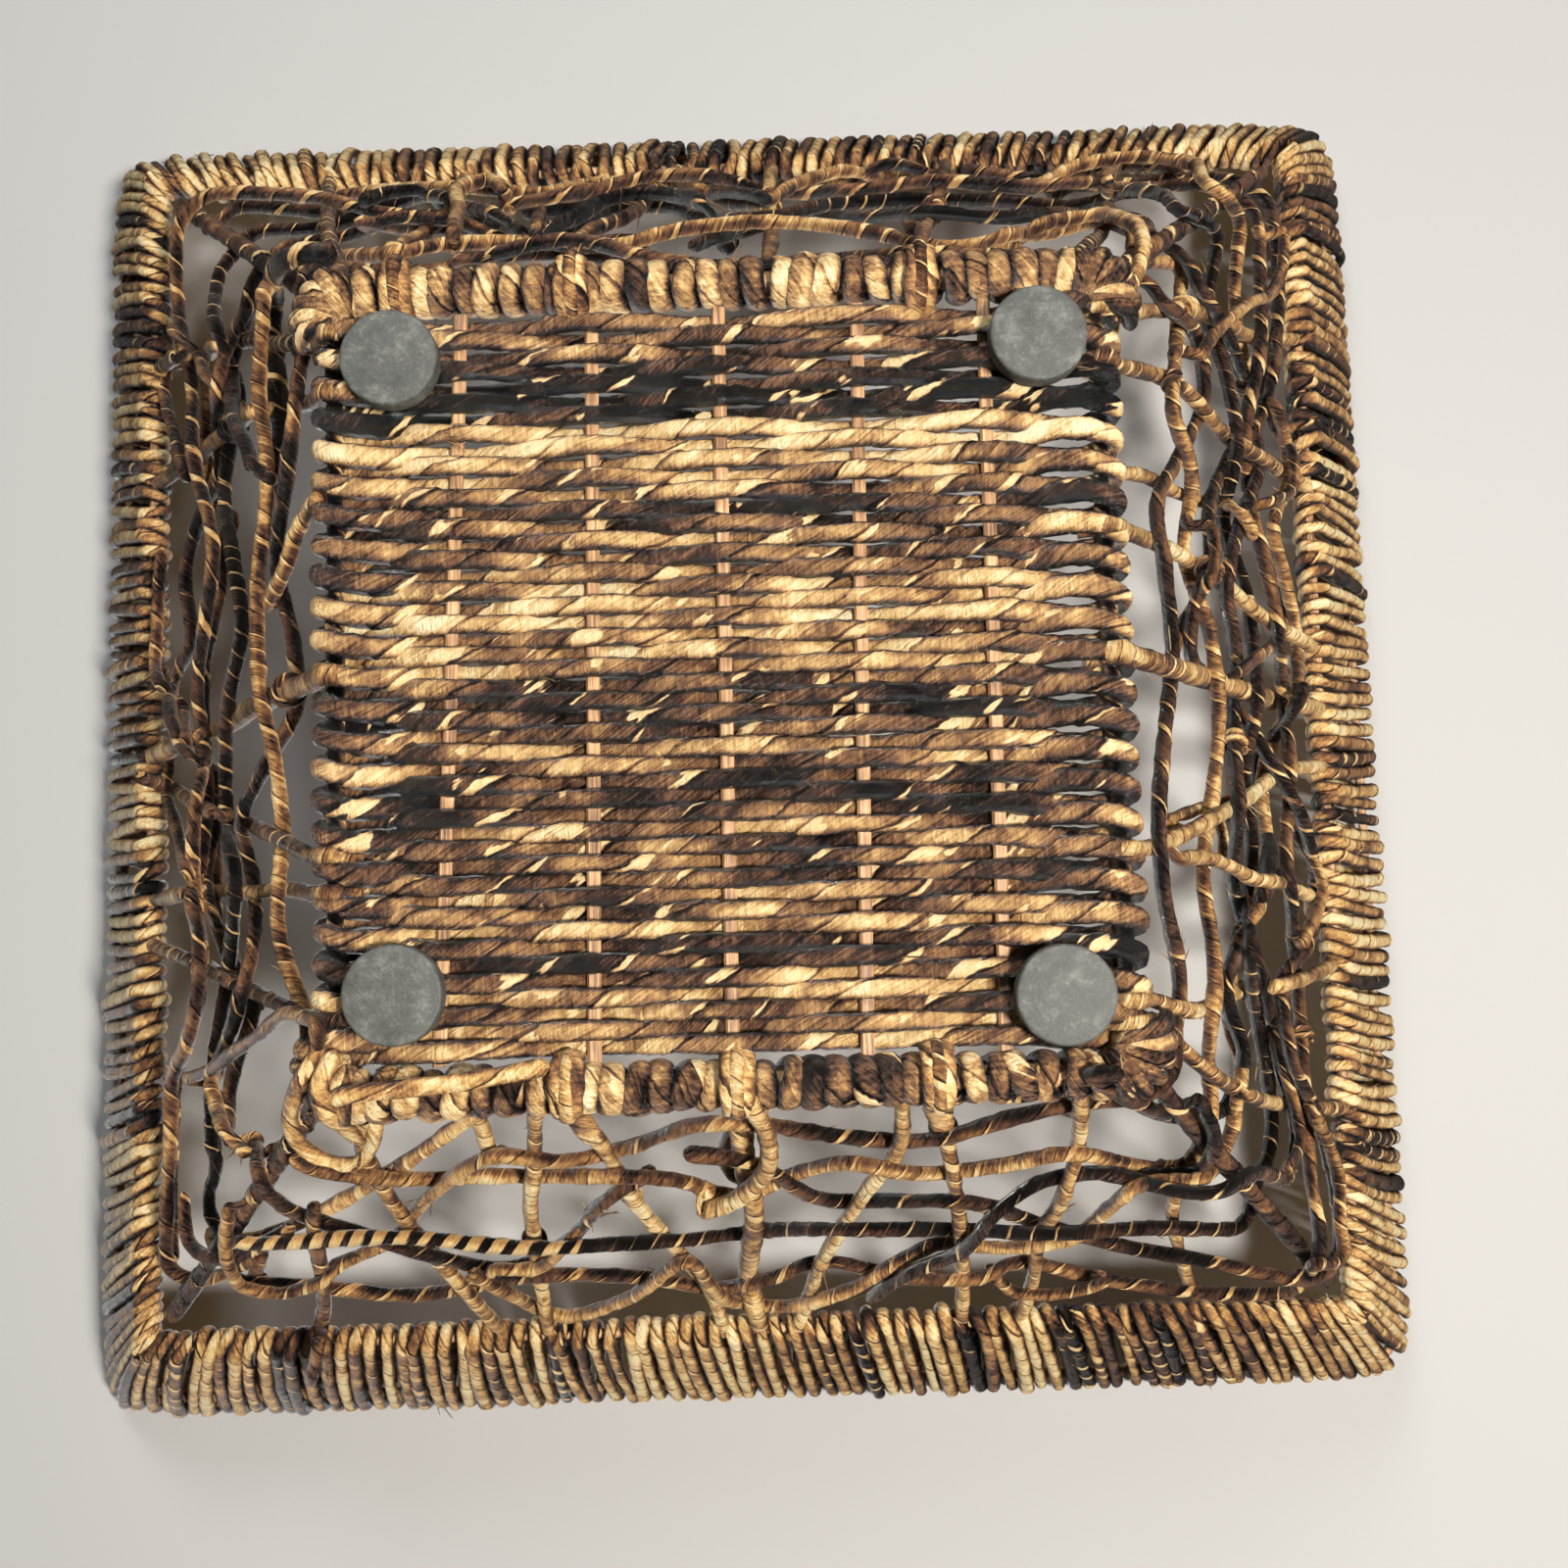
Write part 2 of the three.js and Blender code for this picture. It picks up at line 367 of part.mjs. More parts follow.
// Weavers: long ropes that wander round the basket. Each side's stretch is a list of places
// along it and height shares, and a lap is that side's number plus half the place.
const sideLap = { back: 0, right: 1, front: 2, left: 3, backAgain: 4 };
const weaverShares = {
  weaver_striped: {
    back: [[-0.98, 0.54], [-0.81, 0.56], [-0.63, 0.52], [-0.51, 0.57], [-0.38, 0.63], [-0.21, 0.62],
      [-0.04, 0.56], [0.11, 0.59], [0.25, 0.6], [0.37, 0.59], [0.5, 0.64], [0.62, 0.6],
      [0.77, 0.61], [0.92, 0.63]],
    right: [[-0.97, 0.54], [-0.81, 0.61], [-0.68, 0.57], [-0.56, 0.51], [-0.44, 0.53], [-0.3, 0.58],
      [-0.16, 0.55], [-0.01, 0.63], [0.18, 0.63], [0.35, 0.52], [0.49, 0.6], [0.64, 0.57],
      [0.78, 0.5], [0.94, 0.56]],
    front: [[-0.97, 0.47], [-0.88, 0.58], [-0.78, 0.65], [-0.66, 0.62], [-0.52, 0.67], [-0.39, 0.7],
      [-0.24, 0.65], [-0.1, 0.5], [0.01, 0.54], [0.1, 0.69], [0.18, 0.7], [0.28, 0.54],
      [0.38, 0.46], [0.47, 0.6], [0.56, 0.78], [0.66, 0.72], [0.8, 0.61], [0.96, 0.6]],
    left: [[-0.97, 0.57], [-0.85, 0.59], [-0.68, 0.49], [-0.45, 0.55], [-0.35, 0.5], [-0.18, 0.42],
      [0, 0.52], [0.18, 0.52], [0.33, 0.45], [0.5, 0.51], [0.66, 0.6], [0.82, 0.6]],
  },
  weaver_brown_upper: {
    back: [[-0.95, 0.72], [-0.76, 0.77], [-0.58, 0.82], [-0.4, 0.75], [-0.18, 0.77], [-0.05, 0.83],
      [0.04, 0.79], [0.12, 0.72], [0.29, 0.81], [0.4, 0.82], [0.48, 0.75], [0.61, 0.84],
      [0.76, 0.92], [0.87, 0.94]],
    right: [[-0.98, 0.86], [-0.9, 0.8], [-0.75, 0.78], [-0.58, 0.79], [-0.43, 0.77], [-0.3, 0.74],
      [-0.18, 0.79], [-0.02, 0.8], [0.11, 0.78], [0.25, 0.73], [0.41, 0.67], [0.53, 0.67],
      [0.64, 0.76], [0.8, 0.81], [0.92, 0.83]],
    front: [[-0.98, 0.8], [-0.86, 0.78], [-0.66, 0.68], [-0.54, 0.72], [-0.4, 0.76], [-0.27, 0.72],
      [-0.12, 0.76], [0.02, 0.84], [0.14, 0.85], [0.24, 0.75], [0.37, 0.69], [0.52, 0.66],
      [0.67, 0.67], [0.75, 0.76], [0.88, 0.84]],
    left: [[-0.95, 0.86], [-0.8, 0.86], [-0.68, 0.77], [-0.52, 0.71], [-0.34, 0.59], [-0.22, 0.64],
      [-0.09, 0.71], [0.08, 0.67], [0.26, 0.7], [0.38, 0.67], [0.51, 0.67], [0.62, 0.83],
      [0.8, 0.88], [0.92, 0.88]],
  },
  weaver_tan_lower: {
    back: [[-0.98, 0.24], [-0.85, 0.28], [-0.73, 0.31], [-0.55, 0.31], [-0.35, 0.32], [-0.13, 0.35],
      [0, 0.42], [0.09, 0.35], [0.21, 0.3], [0.36, 0.35], [0.53, 0.33], [0.7, 0.29], [0.86, 0.36]],
    right: [[-0.99, 0.3], [-0.82, 0.28], [-0.61, 0.33], [-0.41, 0.3], [-0.24, 0.37], [-0.03, 0.42],
      [0.09, 0.4], [0.28, 0.3], [0.44, 0.35], [0.6, 0.27], [0.78, 0.33], [0.9, 0.37]],
    front: [[-0.99, 0.23], [-0.9, 0.34], [-0.79, 0.42], [-0.69, 0.34], [-0.6, 0.26], [-0.46, 0.28],
      [-0.37, 0.35], [-0.22, 0.43], [-0.06, 0.46], [0.08, 0.43], [0.22, 0.34], [0.42, 0.38],
      [0.6, 0.34], [0.72, 0.27], [0.88, 0.33]],
    left: [[-0.96, 0.27], [-0.69, 0.3], [-0.5, 0.27], [-0.29, 0.31], [-0.02, 0.29], [0.12, 0.23],
      [0.29, 0.2], [0.51, 0.21], [0.69, 0.12]],
  },
  weaver_brown_low: {
    back: [[-0.76, 0.68], [-0.67, 0.56], [-0.63, 0.38], [-0.54, 0.24], [-0.37, 0.26], [-0.25, 0.22],
      [-0.09, 0.14], [0.07, 0.15], [0.23, 0.2], [0.42, 0.22], [0.58, 0.16], [0.8, 0.1]],
    right: [[-0.98, 0.1], [-0.87, 0.12], [-0.68, 0.16], [-0.54, 0.11], [-0.37, 0.1], [-0.15, 0.15],
      [0.05, 0.21], [0.25, 0.19], [0.39, 0.17], [0.5, 0.31], [0.61, 0.45], [0.72, 0.43],
      [0.86, 0.24]],
    front: [[-0.98, 0.12], [-0.8, 0.14], [-0.5, 0.14], [-0.2, 0.16], [0.04, 0.15], [0.16, 0.21],
      [0.32, 0.33], [0.48, 0.28], [0.62, 0.22], [0.8, 0.19], [0.94, 0.18]],
    left: [[-0.98, 0.1], [-0.72, 0.11], [-0.5, 0.17], [-0.31, 0.23], [-0.12, 0.15], [0.02, 0.13],
      [0.13, 0.29], [0.22, 0.42], [0.38, 0.37], [0.5, 0.36]],
  },
  weaver_tan_wave: {
    back: [[-0.5, 0.72], [-0.41, 0.84], [-0.31, 0.95], [-0.22, 0.88], [-0.11, 0.7], [-0.03, 0.9],
      [0.07, 0.93], [0.16, 0.87], [0.28, 0.72], [0.36, 0.65], [0.46, 0.68], [0.59, 0.65],
      [0.7, 0.52], [0.8, 0.42], [0.92, 0.41]],
    right: [[-0.97, 0.38], [-0.84, 0.41], [-0.77, 0.44], [-0.68, 0.4], [-0.55, 0.44], [-0.4, 0.59],
      [-0.29, 0.66], [-0.18, 0.65], [-0.08, 0.73], [0.03, 0.88], [0.12, 0.92], [0.21, 0.87],
      [0.32, 0.8], [0.43, 0.92], [0.52, 0.87], [0.66, 0.7], [0.78, 0.66], [0.93, 0.7]],
    front: [[-0.97, 0.68], [-0.86, 0.88], [-0.75, 0.95], [-0.66, 0.9], [-0.6, 0.76], [-0.49, 0.82],
      [-0.35, 0.94], [-0.25, 0.92], [-0.16, 0.8], [-0.08, 0.62], [0.02, 0.76], [0.13, 0.93],
      [0.24, 0.9], [0.34, 0.8], [0.48, 0.84], [0.62, 0.92], [0.78, 0.93], [0.9, 0.93]],
  },
  weaver_brown_rise: {
    back: [[-0.12, 0.24], [0.04, 0.3], [0.15, 0.44], [0.31, 0.46], [0.45, 0.48], [0.57, 0.59],
      [0.7, 0.7], [0.8, 0.76], [0.9, 0.84]],
    right: [[-0.97, 0.92], [-0.84, 0.92], [-0.74, 0.84], [-0.66, 0.69], [-0.55, 0.68], [-0.42, 0.86],
      [-0.31, 0.94], [-0.22, 0.86], [-0.12, 0.69], [-0.02, 0.5], [0.06, 0.3], [0.16, 0.33],
      [0.26, 0.42], [0.36, 0.43], [0.46, 0.56], [0.54, 0.78], [0.64, 0.86], [0.78, 0.93],
      [0.91, 0.93]],
    front: [[-0.97, 0.9], [-0.8, 0.83], [-0.67, 0.8], [-0.55, 0.86], [-0.44, 0.93]],
  },
  weaver_brown_left: {
    front: [[0.16, 0.42], [0.3, 0.43], [0.44, 0.46], [0.53, 0.57], [0.62, 0.56], [0.74, 0.49],
      [0.88, 0.44]],
    left: [[-0.98, 0.4], [-0.88, 0.4], [-0.77, 0.51], [-0.62, 0.58], [-0.5, 0.6], [-0.4, 0.72],
      [-0.29, 0.81], [-0.18, 0.76], [-0.09, 0.88], [0.02, 0.78], [0.12, 0.6], [0.24, 0.63],
      [0.37, 0.6], [0.5, 0.49], [0.62, 0.37], [0.74, 0.5], [0.82, 0.48], [0.93, 0.34]],
    backAgain: [[-0.97, 0.38], [-0.85, 0.46], [-0.72, 0.54], [-0.58, 0.64], [-0.42, 0.7],
      [-0.34, 0.6], [-0.27, 0.42], [-0.18, 0.3]],
  },
  weaver_dark_right: {
    back: [[0.2, 0.91], [0.29, 0.78], [0.38, 0.7], [0.48, 0.53], [0.6, 0.4], [0.73, 0.37],
      [0.87, 0.46]],
    right: [[-0.98, 0.48], [-0.89, 0.66], [-0.79, 0.72], [-0.64, 0.62], [-0.52, 0.57], [-0.4, 0.46],
      [-0.25, 0.49], [-0.1, 0.5], [0.06, 0.54], [0.2, 0.5], [0.34, 0.6], [0.45, 0.74],
      [0.56, 0.74], [0.66, 0.64], [0.74, 0.56], [0.85, 0.44]],
    front: [[-0.98, 0.36], [-0.84, 0.5], [-0.71, 0.53], [-0.58, 0.46], [-0.44, 0.49], [-0.3, 0.52],
      [-0.16, 0.58], [-0.03, 0.44], [0.06, 0.32]],
  },
};

// Where a stake starts: on the bark of the end bars, or on the turns of the base weave
const weaveTurn = sideRodDiameter / 2 + seat + weaveDiameter;
const barStart = (barRadius + seat) / wallLength;

function rodStart() {
  const turnOuter = weaveTurn / Math.cos(THREE.MathUtils.degToRad(33.5)) + seat;
  const run = wallRun / wallSlant;
  const b = sideRodInset * run;
  return (Math.sqrt(b * b + turnOuter ** 2 - sideRodInset ** 2) - b) / wallLength;
}

const weaverLow = (barRadius + seat + weaverDiameter / 2 + strandGap) / wallLength;
const weaverHigh = 1 - (weaverDiameter / 2 + strandGap) / wallLength;

// Straight up the slope of a wall, so that a strand's end lies flat along the bar or the band
function wallUp(normal) {
  const out = new THREE.Vector3(normal.x, normal.y, 0).normalize();
  return out.multiplyScalar(wallRun).setZ(wallRise).normalize();
}

function makeStrand(name, laps, radius, sides, material, fixedEnds) {
  const knots = laps.map(([lap, share], i) => {
    const { point, normal } = wallPlace(lap, share);
    const end = i === 0 || i === laps.length - 1;
    return { lap, share, point, normal, lift: 0, free: fixedEnds && end ? 0 : 1 };
  });
  return { name, knots, radius, sides, material, fixedEnds };
}

function makeStakes() {
  return Object.entries(stakeShares).flatMap(([sideName, list]) => list.map((route, i) => {
    const start = sideName === 'back' || sideName === 'front' ? barStart : rodStart();
    const laps = strandPath(route.map(([t, share]) => [sideLap[sideName] + t / 2, share]), ringSpacing);
    laps.forEach((place) => { place[1] = start + (1 - start) * place[1]; });
    const name = `stake_${sideName}_${i + 1}`;
    const thick = middleStakes.includes(name);
    const diameter = thick ? middleStakeDiameter : stakeDiameter;
    return makeStrand(name, laps, diameter / 2, stakeSides, i % 2 ? tan : cream, true);
  }));
}

function makeWeavers(stakes) {
  const colours = [dark, brown, tan, brown, tan, brown, brown, dark];
  return Object.entries(weaverShares).map(([name, stretches], i) => {
    const route = Object.entries(stretches).flatMap(([sideName, list]) => (
      list.map(([t, share]) => [sideLap[sideName] + t / 2, share])));
    const laps = strandPath(route, ringSpacing).map(([lap, share]) => (
      [lap, THREE.MathUtils.clamp(share, weaverLow, weaverHigh)]));
    const weaver = makeStrand(name, laps, weaverDiameter / 2, strandSides, colours[i], false);
    weaver.knots.forEach((knot) => { knot.lift = firstLift(knot, i, stakes); });
    return weaver;
  });
}

// A weaver goes in front of one stake and behind the next.
function firstLift(knot, order, stakes) {
  let nearest = 0;
  let least = Infinity;
  stakes.forEach((stake, i) => {
    stake.knots.forEach((other) => {
      const distance = knot.point.distanceTo(other.point);
      if (distance < least) {
        least = distance;
        nearest = i;
      }
    });
  });
  return ((nearest + order) % 2 ? -1 : 1) * (stakeDiameter + weaverDiameter) / 4;
}

// The corner posts follow the wall's corners and end under the corners of the lower hoop.
function makePosts() {
  return ['back_right', 'front_right', 'front_left', 'back_left'].map((corner, i) => {
    const lap = i + 0.5;
    const cornerOut = 1 - wallCornerShare * (1 - Math.SQRT1_2);
    const reach = (barCoreLength / 2 + seat + postDiameter / 2) / cornerOut;
    const start = (reach - barHalf) * wallSlant / (wallRun * wallLength);
    const shares = [start, 0.25, 0.5, 0.72, 0.86, 1];
    const post = makeStrand(`post_${corner}`, shares.map((share) => [lap, share]),
      postDiameter / 2, wrapSteps, rattan, true);
    const side = i;
    const hoopCorner = onSide(side, lowRod.out, lowRod.out, lowRod.z);
    const direction = hoopCorner.clone().sub(post.knots[4].point).normalize();
    const depth = Math.max(...Array.from({ length: wrapSteps / 2 }, (none, k) => {
      const { out, z } = turnCorner(wrapSteps / 2 + k, bandCorner, lowRod, highRod, bandLean);
      return hoopCorner.clone().sub(onSide(side, out, out, z)).dot(direction);
    }));
    const spread = (postDiameter / 2) * Math.hypot(direction.x, direction.y);
    post.knots[5].point = hoopCorner.addScaledVector(direction, -(depth + spread + seat + strandGap));
    post.knots.forEach((knot) => { knot.free = 0; });
    post.endDirection = direction;
    return post;
  });
}

const placeOf = (knot) => knot.point.clone().addScaledVector(knot.normal, knot.lift);

// The nearest points of two stretches of strand, as shares along each
function nearest(a0, a1, b0, b1) {
  const u = a1.clone().sub(a0);
  const v = b1.clone().sub(b0);
  const w = a0.clone().sub(b0);
  const [a, b, c, d, e] = [u.dot(u), u.dot(v), v.dot(v), u.dot(w), v.dot(w)];
  const span = a * c - b * b;
  const clamp = (x) => Math.min(1, Math.max(0, x));
  let p = span > 1e-9 * a * c ? clamp((b * e - c * d) / span) : 0;
  let q = clamp((b * p + e) / c);
  p = clamp((b * q - d) / a);
  q = clamp((b * p + e) / c);
  const apart = w.addScaledVector(u, p).addScaledVector(v, -q);
  return { p, q, apart };
}

// Every two stretches that come near each other in the wall, of two strands or of one
function nearPairs(strands, reach) {
  const pairs = [];
  strands.forEach((first, i) => strands.slice(i).forEach((second, j) => {
    for (let m = 0; m + 1 < first.knots.length; m += 1) {
      for (let n = j ? 0 : m + 2; n + 1 < second.knots.length; n += 1) {
        const [a0, a1] = [first.knots[m], first.knots[m + 1]];
        const [b0, b1] = [second.knots[n], second.knots[n + 1]];
        if (a0.point.distanceTo(b0.point) > 4 * ringSpacing) continue;
        const need = first.radius + second.radius + strandGap;
        const { apart } = nearest(a0.point, a1.point, b0.point, b1.point);
        if (apart.length() < need + reach) pairs.push({ a0, a1, b0, b1, need, turn: (i + j + m) % 2 });
      }
    }
  }));
  return pairs;
}

// A strand is stiff, so each of its sections is drawn towards the middle of its neighbours.
function relax({ knots }) {
  const levels = knots.map((knot) => knot.lift);
  knots.forEach((knot, i) => {
    const middle = (levels[Math.max(i - 1, 0)] + levels[Math.min(i + 1, levels.length - 1)]) / 2;
    knot.lift += knot.free * stiffnessShare * (middle - knot.lift);
  });
}

function raise(knot, distance) {
  knot.lift = THREE.MathUtils.clamp(knot.lift + distance, -mostLift, mostLift);
}

// Strands that are too near are moved apart along the wall's normal until all are clear.
function settle(strands, rounds) {
  const pairs = nearPairs(strands, stakeDiameter);
  for (let round = 0; round < rounds; round += 1) {
    let moved = 0;
    if (round < rounds / 2) strands.forEach(relax);
    pairs.forEach(({ a0, a1, b0, b1, need, turn }) => {
      const { p, q, apart } = nearest(placeOf(a0), placeOf(a1), placeOf(b0), placeOf(b1));
      if (apart.length() >= need) return;
      const normal = a0.normal.clone().add(b0.normal).normalize();
      const height = apart.dot(normal);
      const level = Math.sqrt(Math.max(0, apart.lengthSq() - height * height));
      const sign = Math.abs(height) > strandGap / 10 ? Math.sign(height) : 2 * turn - 1;
      const lack = Math.sqrt(need * need - Math.min(level, need) ** 2) - sign * height + strandGap / 10;
      const weights = [(1 - p) * a0.free, p * a1.free, (1 - q) * b0.free, q * b1.free];
      const total = weights[0] * (1 - p) + weights[1] * p + weights[2] * (1 - q) + weights[3] * q;
      if (total < 1e-6) return;
      const share = sign * lack / total;
      raise(a0, share * weights[0]);
      raise(a1, share * weights[1]);
      raise(b0, -share * weights[2]);
      raise(b1, -share * weights[3]);
      moved = Math.max(moved, lack);
    });
    if (moved === 0) break;
  }
  let least = Infinity;
  pairs.forEach(({ a0, a1, b0, b1, need }) => {
    const { apart } = nearest(placeOf(a0), placeOf(a1), placeOf(b0), placeOf(b1));
    least = Math.min(least, apart.length() - need + strandGap);
  });
  return least;
}

function strandSkin(strand) {
  const { knots, radius, sides, fixedEnds } = strand;
  const centres = knots.map(placeOf);
  const last = knots.length - 1;
  return skin(centres.map((centre, i) => {
    let direction = centres[Math.min(i + 1, last)].clone().sub(centres[Math.max(i - 1, 0)]);
    if (fixedEnds && (i === 0 || i === last)) direction = wallUp(knots[i].normal);
    if (strand.endDirection && i === last) direction = strand.endDirection;
    return ringAt(centre, direction, knots[i].normal, radius, sides);
  }));
}

// Feet: a disc with bevelled edges, and where each stands in shares of half the base
const footPlaceShares = {
  front_left: [-0.8, -0.796], front_right: [0.8, -0.81], back_right: [0.795, 0.805],
  back_left: [-0.8, 0.76],
};

function foot([x, y]) {
  const radius = footDiameter / 2;
  const profile = [[0, 0], [radius - footEase, 0], [radius, footEase], [radius, footHeight - footEase],
    [radius - footEase, footHeight], [0, footHeight]].map((p) => new THREE.Vector2(...p));
  const geometry = new THREE.LatheGeometry(profile, 24);
  geometry.rotateX(Math.PI / 2);
  geometry.translate(x * barHalf, y * barHalf, 0);
  return geometry;
}

function rod(start, end, diameter, guide) {
  const direction = end.clone().sub(start);
  return skin([start, end].map((p) => ringAt(p, direction, guide, diameter / 2, 2 * wrapSteps)));
}

const up = new THREE.Vector3(0, 0, 1);

Object.entries(footPlaceShares).forEach(([corner, place]) => add(`foot_${corner}`, foot(place), rubber));

[['back', 0], ['front', 2]].forEach(([name, side]) => {
  const end = barCoreLength / 2;
  add(`bar_core_${name}`, rod(onSide(side, -end, barHalf, baseLevel),
    onSide(side, end, barHalf, baseLevel), barCoreDiameter, up), rattan);
  const rings = barWinding(side);
  console.log(`bar winding ${name}: least gap to itself ${leastTurnGap(rings).toFixed(2)} mm`);
  add(`bar_winding_${name}`, skin(rings), tan);
});

[['right', 1], ['left', 3]].forEach(([name, side]) => {
  add(`side_rod_${name}`, rod(onSide(side, -railEnd, sideRodX, baseLevel),
    onSide(side, railEnd, sideRodX, baseLevel), sideRodDiameter, up), rattan);
});

slatEndShares.forEach((ends, i) => {
  add(`slat_${i + 1}`, skin([slatRing(i, -railEnd), slatRing(i, railEnd)]), reed);
});
add('base_weave', skin(baseWeave()), tan);

add('rim_hoop_upper', hoop(highRod), rattan);
add('rim_hoop_lower', hoop(lowRod), rattan);
['back', 'right', 'front', 'left'].forEach((name, side) => {
  const rings = bandWinding(side);
  console.log(`rim winding ${name}: least gap to itself ${leastTurnGap(rings).toFixed(2)} mm`);
  add(`rim_winding_${name}`, skin(rings), side % 2 ? tan : cream);
});

const stakes = makeStakes();
const strands = [...makePosts(), ...stakes, ...makeWeavers(stakes)];
const least = settle(strands, settleRounds);
console.log(`least clearance between two strands ${least.toFixed(2)} mm`);
strands.forEach((strand) => add(strand.name, strandSkin(strand), strand.material));

export default basket;
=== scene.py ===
"""A square wicker basket of twisted bark rope: its ropes, windings, feet, light and camera."""
import functools
import math

import bpy
import numpy as np
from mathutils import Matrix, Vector


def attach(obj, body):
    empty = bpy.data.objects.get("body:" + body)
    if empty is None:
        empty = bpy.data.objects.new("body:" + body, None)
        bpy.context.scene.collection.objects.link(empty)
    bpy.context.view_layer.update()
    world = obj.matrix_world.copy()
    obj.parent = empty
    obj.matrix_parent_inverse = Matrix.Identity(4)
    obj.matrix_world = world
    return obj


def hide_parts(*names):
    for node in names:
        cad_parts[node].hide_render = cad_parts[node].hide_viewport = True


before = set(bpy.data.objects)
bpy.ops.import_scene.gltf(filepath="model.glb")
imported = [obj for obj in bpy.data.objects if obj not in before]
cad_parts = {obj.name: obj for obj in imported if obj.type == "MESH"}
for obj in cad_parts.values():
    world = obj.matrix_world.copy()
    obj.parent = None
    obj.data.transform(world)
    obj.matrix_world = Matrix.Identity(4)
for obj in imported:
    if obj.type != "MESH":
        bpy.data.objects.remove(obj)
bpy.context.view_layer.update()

bl_info = {
    "name": "Bark Rope Basket",
    "version": (1, 0, 0),
    "blender": (4, 5, 0),
    "location": "View3D > Sidebar > Basket",
    "description": "Weaves a flared square basket of twisted bark rope over its measured frame",
    "category": "Add Mesh",
}

MM = 0.001

# Sizes that the ropes lie on, in millimetres, as in the basket's own source
RIM_HIGH = (217.96, 165.90)      # upper hoop: out from the middle, and height
RIM_LOW = (189.36, 116.50)       # lower hoop
BAR_HALF = 103.5                 # from the middle to an end bar
BASE_LEVEL = 11.22               # height of the base's mid plane
RAIL_END = 97.1                  # from the middle to a slat's end
SIDE_ROD_X = 99.3                # from the middle to a side rod
WEAVE_RISE = 3.47                # the base's rope over the middle of a slat
WEAVE_EDGE = 3.9                 # open strip between the last row and a bar
WALL_LENGTH = 128.5              # how much of the slope the routes' heights cover
WALL_RUN = RIM_LOW[0] - BAR_HALF
WALL_RISE = RIM_LOW[1] - BASE_LEVEL
WALL_SLANT = math.hypot(WALL_RUN, WALL_RISE)
WALL_OUTWARD = (WALL_RISE / WALL_SLANT, -WALL_RUN / WALL_SLANT)
CORNER_SHARE = 0.1               # how round the wall's corners are
LIFT_LIMIT = 7.0                 # farthest that a wall rope is moved off the middle of the wall
CAMERA_PLACE = (14.4, 66.4, -385.7)
CAMERA_TURN = (-174.55, -0.12, 1.676)  # in degrees
MOST_SLIP = 2.0                  # most that a lifted rope slips along the wall, for each mm of lift
# Where each slat meets the front bar and the back bar, and where each foot stands, in shares of BAR_HALF
SLAT_ENDS = ((-0.64, -0.71), (-0.31, -0.335), (0.01, 0), (0.36, 0.325), (0.68, 0.66))
FEET = {
    "front_left": (-0.8, -0.796), "front_right": (0.8, -0.81),
    "back_right": (0.795, 0.805), "back_left": (-0.8, 0.76),
}
FOOT_RADIUS = 12.5
FOOT_HEIGHT = 6.0
FOOT_EASE = 0.9                  # how round a foot's edges are

# The four sides: back (+Y), right (+X), front (-Y) and left (-X)
SIDES = {"back": 0, "right": 1, "front": 2, "left": 3, "backAgain": 4}
ALONG = np.array([[1, 0], [0, -1], [-1, 0], [0, 1]], float)
OUT = np.array([[0, 1], [1, 0], [0, -1], [-1, 0]], float)

# Routes over the walls, by side, as pairs of percentages: a place along the side from -100 to 100,
# and a height from the base at 0 to the rim band at 100. Stakes stand, weavers wander round and
# twigs fill in between.
STAKES = {
    "back": [
        "-87 0, -83 13, -75 28, -63 51, -53 72, -42 100",
        "-47 0, -44 19, -42 41, -39 60, -34 100",
        "-38 0, -29 18, -21 41, -12 65, -7 82, -5 100",
        "1 0, 1 26, 2 45, 0 75, 1 100",
        "39 0, 35 18, 24 40, 14 68, 8 100",
        "47 0, 45 17, 42 43, 38 76, 35 100",
        "81 0, 72 22, 61 47, 54 62, 50 80, 45 100",
    ],
    "right": [
        "-86 0, -85 21, -82 42, -74 74, -68 100",
        "-81 0, -73 22, -64 38, -54 67, -44 100",
        "-45 0, -32 27, -21 54, -13 77, -10 100",
        "2 0, 1 29, 0 60, 0 100",
        "33 0, 28 22, 22 45, 15 70, 11 100",
        "75 0, 65 29, 51 55, 44 80, 40 100",
        "88 0, 84 20, 79 42, 70 70, 66 100",
    ],
    "front": [
        "-87 0, -84 28, -80 48, -74 73, -71 100",
        "-50 0, -45 30, -43 60, -40 100",
        "-13 0, -12 28, -10 60, -9 100",
        "34 0, 28 36, 18 54, 12 80, 6 100",
        "76 0, 71 26, 60 48, 50 74, 46 100",
        "87 0, 86 16, 79 52, 74 76, 70 100",
    ],
    "left": [
        "-87 0, -82 20, -79 42, -74 62, -67 100",
        "-72 0, -64 33, -56 58, -50 80, -46 100",
        "-2 0, -1 30, 1 60, 2 100",
        "41 0, 31 18, 24 36, 14 70, 7 100",
        "50 0, 44 13, 38 35, 33 55, 27 100",
        "80 0, 64 24, 54 44, 43 71, 35 100",
    ],
}
